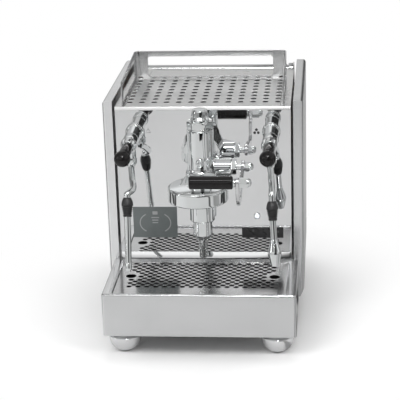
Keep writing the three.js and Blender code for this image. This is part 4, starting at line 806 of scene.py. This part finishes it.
# Valves and wands
def valve_parts(name, side):
    """Barrel with a stepped flange, socket post, tapered ring and a ball joystick."""
    x = side * VALVE_X
    at = (x, FACE, VALVE_Z)
    chain = [(0, -30), (9, -30), (9, -1.7), (13.2, -1.7), (13.2, 1.2), (12.2, 2.3), (11, 2.6), (11, 40),
             (10.6, 40.4), (10.6, 41.6), (11, 42), (11, 62), (0, 62)]
    barrel = lathe(chain, [0, .4, 0, .5, .5, .4, .5, .1, .1, .1, .1, .5, 0], 4, 64, "front", at)
    socket_r, mouth = 6.9, 2.6
    cup = arc(0, SOCKET_Z, socket_r, np.linspace(math.pi / 2, math.asin(mouth / socket_r), 9))
    chain = [(6.9, 258.6), (8.4, 258.6), (9, 259.4), (9, 265.6), (8.2, 266.5), (8, 268), (8, 285), (0, 285)]
    post = np.concatenate([cup, rounded(chain, [0, .3, .4, .4, .4, .4, 0, 0], 4)[1:]])
    form = merged([barrel, placed(turned(post, 48), "up", (x, SOCKET_Y, 0))])
    piece(name + "_valve_turned", form, CHROME, name + "_valve_body")
    chain = [(0, 62.3), (11.6, 62.3), (11.6, 64.9), (11.1, 65.4), (11.1, 66.1), (11.6, 66.6), (11.6, 70.2),
             (11, 72.5), (9.4, 78.2), (8.6, 78.2), (7, 76.3), (7, 64.3), (0, 64.3)]
    form = lathe(chain, [0, .5, .2, .2, .2, .2, .5, 1, .4, .3, .3, .3, 0], 4, 64, "front", at)
    piece(name + "_valve_ring_turned", form, CHROME, name + "_valve_ring")
    chain = [(0, 78.5), (2.6, 78.5), (2.6, 80.2), (6.4, 80.2), (8.1, 83.6), (8.3, 100), (7.9, 111),
             (6.4, 112.4), (5.5, 113.6), (5.4, 117.5), (6.2, 119.6)]
    neck = rounded(chain, [0, .2, .2, .6, 1.5, 6, 1.5, .6, .6, 1, 0], 4)
    ball_r, ball_reach = 11.4, 128.8
    ball = arc(0, ball_reach, ball_r, np.linspace(-math.acos(0.52), math.pi / 2, 26))
    form = placed(turned(np.concatenate([neck[:-1], ball]), 56), "front", at)
    piece(name + "_joystick", form, PHENOLIC, name + "_knob", name + "_stick")


STEAM_OUTLET = rounded(
    [(0, 0), (4.9, 0), (4.9, 7.6), (2.9, 12), (1.3, 12), (1.3, 3), (0, 3)],
    [0, .4, .5, .6, .2, 0, 0], 4,
)
WATER_OUTLET = rounded(
    [(0, 0), (5.2, 0), (5.4, 3), (9.6, 17.5), (9.8, 21), (7.4, 31), (5.5, 38), (3, 38), (3, 8), (0, 8)],
    [0, .5, 3, 6, 6, 6, .8, .3, 0, 0], 6,
)


def wand_parts(name, side, knuckle, start, end, lead, outlet):
    """A bent tube along a spline from the ball, over a knuckle, to its straight run from start to end, with a
    ribbed rubber sleeve on it and a turned outlet. Each place is (x, reach) from the ball and a height."""
    body = name + "_wand"
    ball = np.array([side * VALVE_X, SOCKET_Y, SOCKET_Z])
    knuckle, start, end = (ball * [1, 1, 0] + [x, -reach, z] for x, reach, z in (knuckle, start, end))
    along = normalised(end - start)
    first = ball + normalised(knuckle - ball) * 5.6
    hump = blend(0.55, 0, 1, first, knuckle) + [0, 0, 1.2]
    path = np.concatenate([
        spline([first, hump, knuckle, start, start + along * 3], 42),
        np.linspace(start + along * 4, end, 14),
    ])
    piece(name + "_wand_bent_tube", swept(path, 4.6, 28), CHROME, name + "_wand_tube", body, smooth=60)
    chain = [(5, 0), (5.5, 0), (6.5, 2.2), (7.9, 6.2), (8.4, 10.4), (8.2, 11.6)]
    radii = [0, .4, 3, 4, 1.5, .3]
    for rib in range(5):
        h, out = 12.4 + rib * 2.6, 8.1 - 0.42 * rib
        chain += [(out - 1.1, h), (out - 1.1, h + 0.9), (out, h + 1.3), (out - 0.1, h + 2.1)]
        radii += [.25, .25, .35, .35]
    chain += [(5.8, 26), (5.5, 27), (5, 27)]
    sleeve = aimed(turned(rounded(chain, radii + [.4, .3, 0], 3), 48), start + along * lead, end)
    piece(name + "_wand_rubber", sleeve, RUBBER, name + "_wand_sleeve", body)
    tip = aimed(turned(outlet, 48), end + along * 0.3, end + along * 2)
    piece(name + "_wand_outlet", tip, CHROME, name + "_wand_tip", body)


# Small marks and plates on the front panel
def mark(name, loops, height, chamfer, material, holes=(), y=MARK_Y):
    forms = [plate(loop, holes, 0, height, chamfer) for loop in loops]
    piece(name, placed(merged(forms), "front", (0, y, 0)), material)


def marks():
    """A bare card with two plain arcs and a few bars, a bare dark plate, three dots and a triangle."""
    card_thick = 0.3
    mark("info_card", [round_rect(-107, -41.5, 127, 175, 0.8)], card_thick, 0.1, CARD)
    middle_x, middle_z = -74.2, 150
    angles = np.radians(np.linspace(-62, 62, 25))
    loops = []
    for side in (-1, 1):
        outer, inner = (
            np.stack([middle_x + side * (6 + wide * np.cos(angles)), middle_z + high * np.sin(angles)], 1)
            for wide, high in ((17.5, 15.5), (16.2, 14))
        )
        loops.append(np.concatenate([outer, inner[::-1]])[::side])
    bars = (
        (-78, -70.5, 163, 168), (-80, -68.5, 157.5, 159), (-79, -69.5, 153.5, 155), (-78.5, -70, 149.5, 151),
    )
    loops += [round_rect(*bar, 0.5) for bar in bars]
    mark("info_card_pattern", loops, 0.05, 0.02, PALE_INK, y=MARK_Y - card_thick)
    mark("name_plate_bare", [round_rect(54, 115, 127, 143, 0.8)], 0.6, 0.15, PLATE_DARK)
    spots = ((75, 288.3), (80.2, 288.3), (77.6, 292.8))
    mark("water_mark_dots", [circle(*spot, 2, 20) for spot in spots], 0.12, 0.03, INK)
    outer = [(-83.6, 288.5), (-75.4, 288.5), (-79.5, 296)]
    inner = [(-82.3, 289.3), (-76.7, 289.3), (-79.5, 294.4)]
    mark("steam_mark_triangle", [outer], 0.12, 0.03, PALE_INK, holes=[inner])


dress_cad()
cup_plate()
tank_lid()
cover_fold()
drip_grate()
cup_rail()
rear_bar()
drip_housing()
front_strip()
feet()
pilot_light()
group_casting()
group_parts()
lever_arm()
lever_parts()
valve_parts("steam", -1)
valve_parts("water", 1)
wand_parts("steam", -1, (7, 39, 233.5), (-0.5, 47, 228), (1.7, 79, 138), 4.5, STEAM_OUTLET)
wand_parts("water", 1, (3.5, 38, 234), (3.3, 45, 226), (6.4, 61.5, 168), 8.0, WATER_OUTLET)
marks()


# Stage, light and camera, in metres
WHITE = grey(1)
FLOOR_WHITE = grey(0.99)
FADE_START, FADE_END = 0.15, 0.43
# Grey levels of the floor in reflections, by degrees round the machine from straight ahead
FLOOR_TONES = [
    (-180, .5), (-124, .5), (-118, .04), (-108, .04), (-104, .58), (-86, .64), (-82, .05), (-76, .05),
    (-72, .7), (-46, .66), (-28, .585), (27, .575), (36, .57), (38, .1), (42, .1), (45, .6), (52, .52),
    (56, .26), (78, .32), (83, .66), (92, .6), (98, .04), (112, .04), (120, .5), (180, .5),
]
# Grey levels of the sky by height, from 0.5 at the horizon to 1 overhead, and by share of a turn
SKY_HEIGHTS = [
    (.5, .3), (.53, .3), (.55, .55), (.64, .58), (.67, .62), (.7, .95), (.74, .95), (.77, .2), (.81, .2),
    (.84, .62), (.92, .5), (1, .55),
]
SKY_TURNS = [
    (0, .95), (.12, .9), (.2, .35), (.26, .3), (.3, 1), (.503, 1), (.513, .1), (.6, .1), (.64, .9), (.84, .9),
    (.925, .9), (.935, .15), (.985, .15), (.995, .95),
]
SKY_STRENGTH = 1.1
# Name, place, size, power in watts and the rays that don't see the light
LIGHTS = [
    ("key", (-1.2, -1.4, 2.3), (1.2, 1.2), 30, "visible_glossy"),
    ("fill", (1.6, -1, 1.7), (0.8, 1.4), 14, "visible_glossy"),
    ("top", (0.1, 0.5, 2.4), (1.6, 1), 22, "visible_glossy"),
    ("glint", (0.3, -1.7, 1.9), (0.36, 0.36), 14, "visible_diffuse"),
    ("strip_front", (0.1, -1.45, 2.2), (1.7, 0.22), 9, "visible_diffuse"),
    ("strip_left", (-1.7, -0.7, 0.75), (0.06, 1), 1.5, "visible_diffuse"),
]
LIT_PLACE = Vector((0, 0, 0.2))


def ramp(tree, stops, value):
    """Grey levels at the stops of a colour ramp."""
    made = tree.nodes.new("ShaderNodeValToRGB")
    elements = made.color_ramp.elements
    elements[0].position, elements[1].position = stops[0][0], stops[-1][0]
    for place, _ in stops[1:-1]:
        elements.new(place)
    for element, (place, level) in zip(elements, stops):
        element.position = place
        element.color = grey(level)
    feed(tree, made.inputs, {"Fac": value})
    return made.outputs["Color"]


def direction(tree, vector):
    """Direction round the machine as a share of a turn: 0.5 lies straight ahead, 0.75 to the right."""
    split = node(tree, "SeparateXYZ", {0: vector})
    turn = maths(tree, "ARCTAN2", split["X"], maths(tree, "MULTIPLY", split["Y"], -1.0))
    return spread(tree, turn, -math.pi, math.pi)


def floor_material():
    """To the camera a white floor that fades into the white background. Reflections see other grey levels, by
    direction."""
    material, tree = new_material("pale_floor")
    path, place = node(tree, "LightPath"), node(tree, "TexCoord")["Object"]
    stops = [(0.5 + degrees / 360, tone) for degrees, tone in FLOOR_TONES]
    levels = ramp(tree, stops, direction(tree, place))
    tone = mixed(tree, path["Is Glossy Ray"], FLOOR_WHITE, levels)
    feed(tree, shader_inputs(material), {"Roughness": 0.9, "Specular IOR Level": 0.1, "Base Color": tone})
    distance = node(tree, "VectorMath", {0: place}, operation="LENGTH")["Value"]
    fade = spread(tree, distance, FADE_START, FADE_END, interpolation_type="SMOOTHSTEP")
    white = node(tree, "Emission", {"Color": WHITE})[0]
    plain = tree.nodes["Principled BSDF"].outputs[0]
    values = {"Fac": maths(tree, "MULTIPLY", fade, path["Is Camera Ray"]), 1: plain, 2: white}
    feed(tree, tree.nodes["Material Output"].inputs, {"Surface": node(tree, "MixShader", values)[0]})
    return material


def sheet_material(name, level):
    """A plain sheet of one grey level, for reflections only."""
    material, tree = new_material(name)
    tree.nodes.remove(tree.nodes["Principled BSDF"])
    glow = node(tree, "Emission", {"Color": grey(level)})[0]
    feed(tree, tree.nodes["Material Output"].inputs, {"Surface": glow})
    return material


def stage_sheet(name, corners, material, hidden_from=()):
    """A flat sheet of the stage, unseen by some kinds of rays."""
    mesh = bpy.data.meshes.new(name)
    mesh.from_pydata(corners, [], [list(range(len(corners)))])
    mesh.materials.append(material)
    obj = new_object(name, mesh)
    for rays in hidden_from:
        setattr(obj, rays, False)


def upright(name, start, end, height, material):
    """A sheet standing on the floor between two places, which only reflections see."""
    corners = [(*start, 0.002), (*end, 0.002), (*end, height), (*start, height)]
    hidden_from = ("visible_camera", "visible_diffuse", "visible_shadow", "visible_transmission")
    stage_sheet(name, corners, material, hidden_from)


def sky():
    """World for reflections and light: grey levels by height, times grey levels by direction. The camera sees
    white."""
    world = bpy.data.worlds.new("studio")
    bpy.context.scene.world = world
    world.use_nodes = True
    tree = world.node_tree
    back = tree.nodes["Background"]
    path, place = node(tree, "LightPath"), node(tree, "TexCoord")["Generated"]
    by_height = ramp(tree, SKY_HEIGHTS, spread(tree, node(tree, "SeparateXYZ", {0: place})["Z"], -1.0, 1.0))
    by_turn = ramp(tree, SKY_TURNS, direction(tree, place))
    tone = mixed(tree, 1.0, by_height, by_turn, "MULTIPLY")
    feed(tree, back.inputs, {"Color": tone, "Strength": SKY_STRENGTH})
    white = node(tree, "Background", {"Color": WHITE})[0]
    values = {"Fac": path["Is Camera Ray"], 1: back.outputs[0], 2: white}
    feed(tree, tree.nodes["World Output"].inputs, {"Surface": node(tree, "MixShader", values)[0]})


def studio():
    """Pale floor, dark and grey cloths that only reflections see, lights and sky."""
    stage_sheet("floor", [(-6, -6, 0), (6, -6, 0), (6, 6, 0), (-6, 6, 0)], floor_material())
    flag, cloth = sheet_material("flag_cloth", 0.03), sheet_material("side_cloth", 0.25)
    for side, x in (("left", -0.9), ("right", 0.9)):
        upright(f"cloth_{side}", (x, 0.1), (x, 0.9), 0.7, cloth)
    upright("dark_front", (0, -1.9), (0.9, -1.7), 0.74, flag)
    for name, place, size, power, blind_rays in LIGHTS:
        data = bpy.data.lights.new(name, "AREA")
        data.shape = "RECTANGLE"
        data.size, data.size_y = size
        data.energy = power
        light = new_object(name, data)
        light.location = place
        light.rotation_euler = (LIT_PLACE - Vector(place)).to_track_quat("-Z", "Y").to_euler()
        setattr(light, blind_rays, False)
    sky()
    bpy.context.scene.view_settings.view_transform = "Standard"


def camera():
    """The photograph's view: pitch, yaw and roll in radians, focal length and frame in pixels."""
    pitch, yaw, roll = 0.33157, 0.09627, -0.03004
    place, focal_px, frame_px, sensor_mm = (0.17829, -1.95463, 0.84912), 1387.4, 400.0, 36.0
    forward = Vector((-math.sin(yaw) * math.cos(pitch), math.cos(yaw) * math.cos(pitch), -math.sin(pitch)))
    level = Vector((math.cos(yaw), math.sin(yaw), 0))
    up = level.cross(forward)
    right = level * math.cos(roll) + up * math.sin(roll)
    up = -level * math.sin(roll) + up * math.cos(roll)
    data = bpy.data.cameras.new("camera")
    data.sensor_width = sensor_mm
    data.lens = sensor_mm * focal_px / frame_px
    data.clip_start = 0.05
    obj = new_object("camera", data)
    obj.matrix_world = Matrix.Translation(place) @ Matrix((right, up, -forward)).transposed().to_4x4()
    bpy.context.scene.camera = obj


studio()
camera()
bpy.context.view_layer.update()
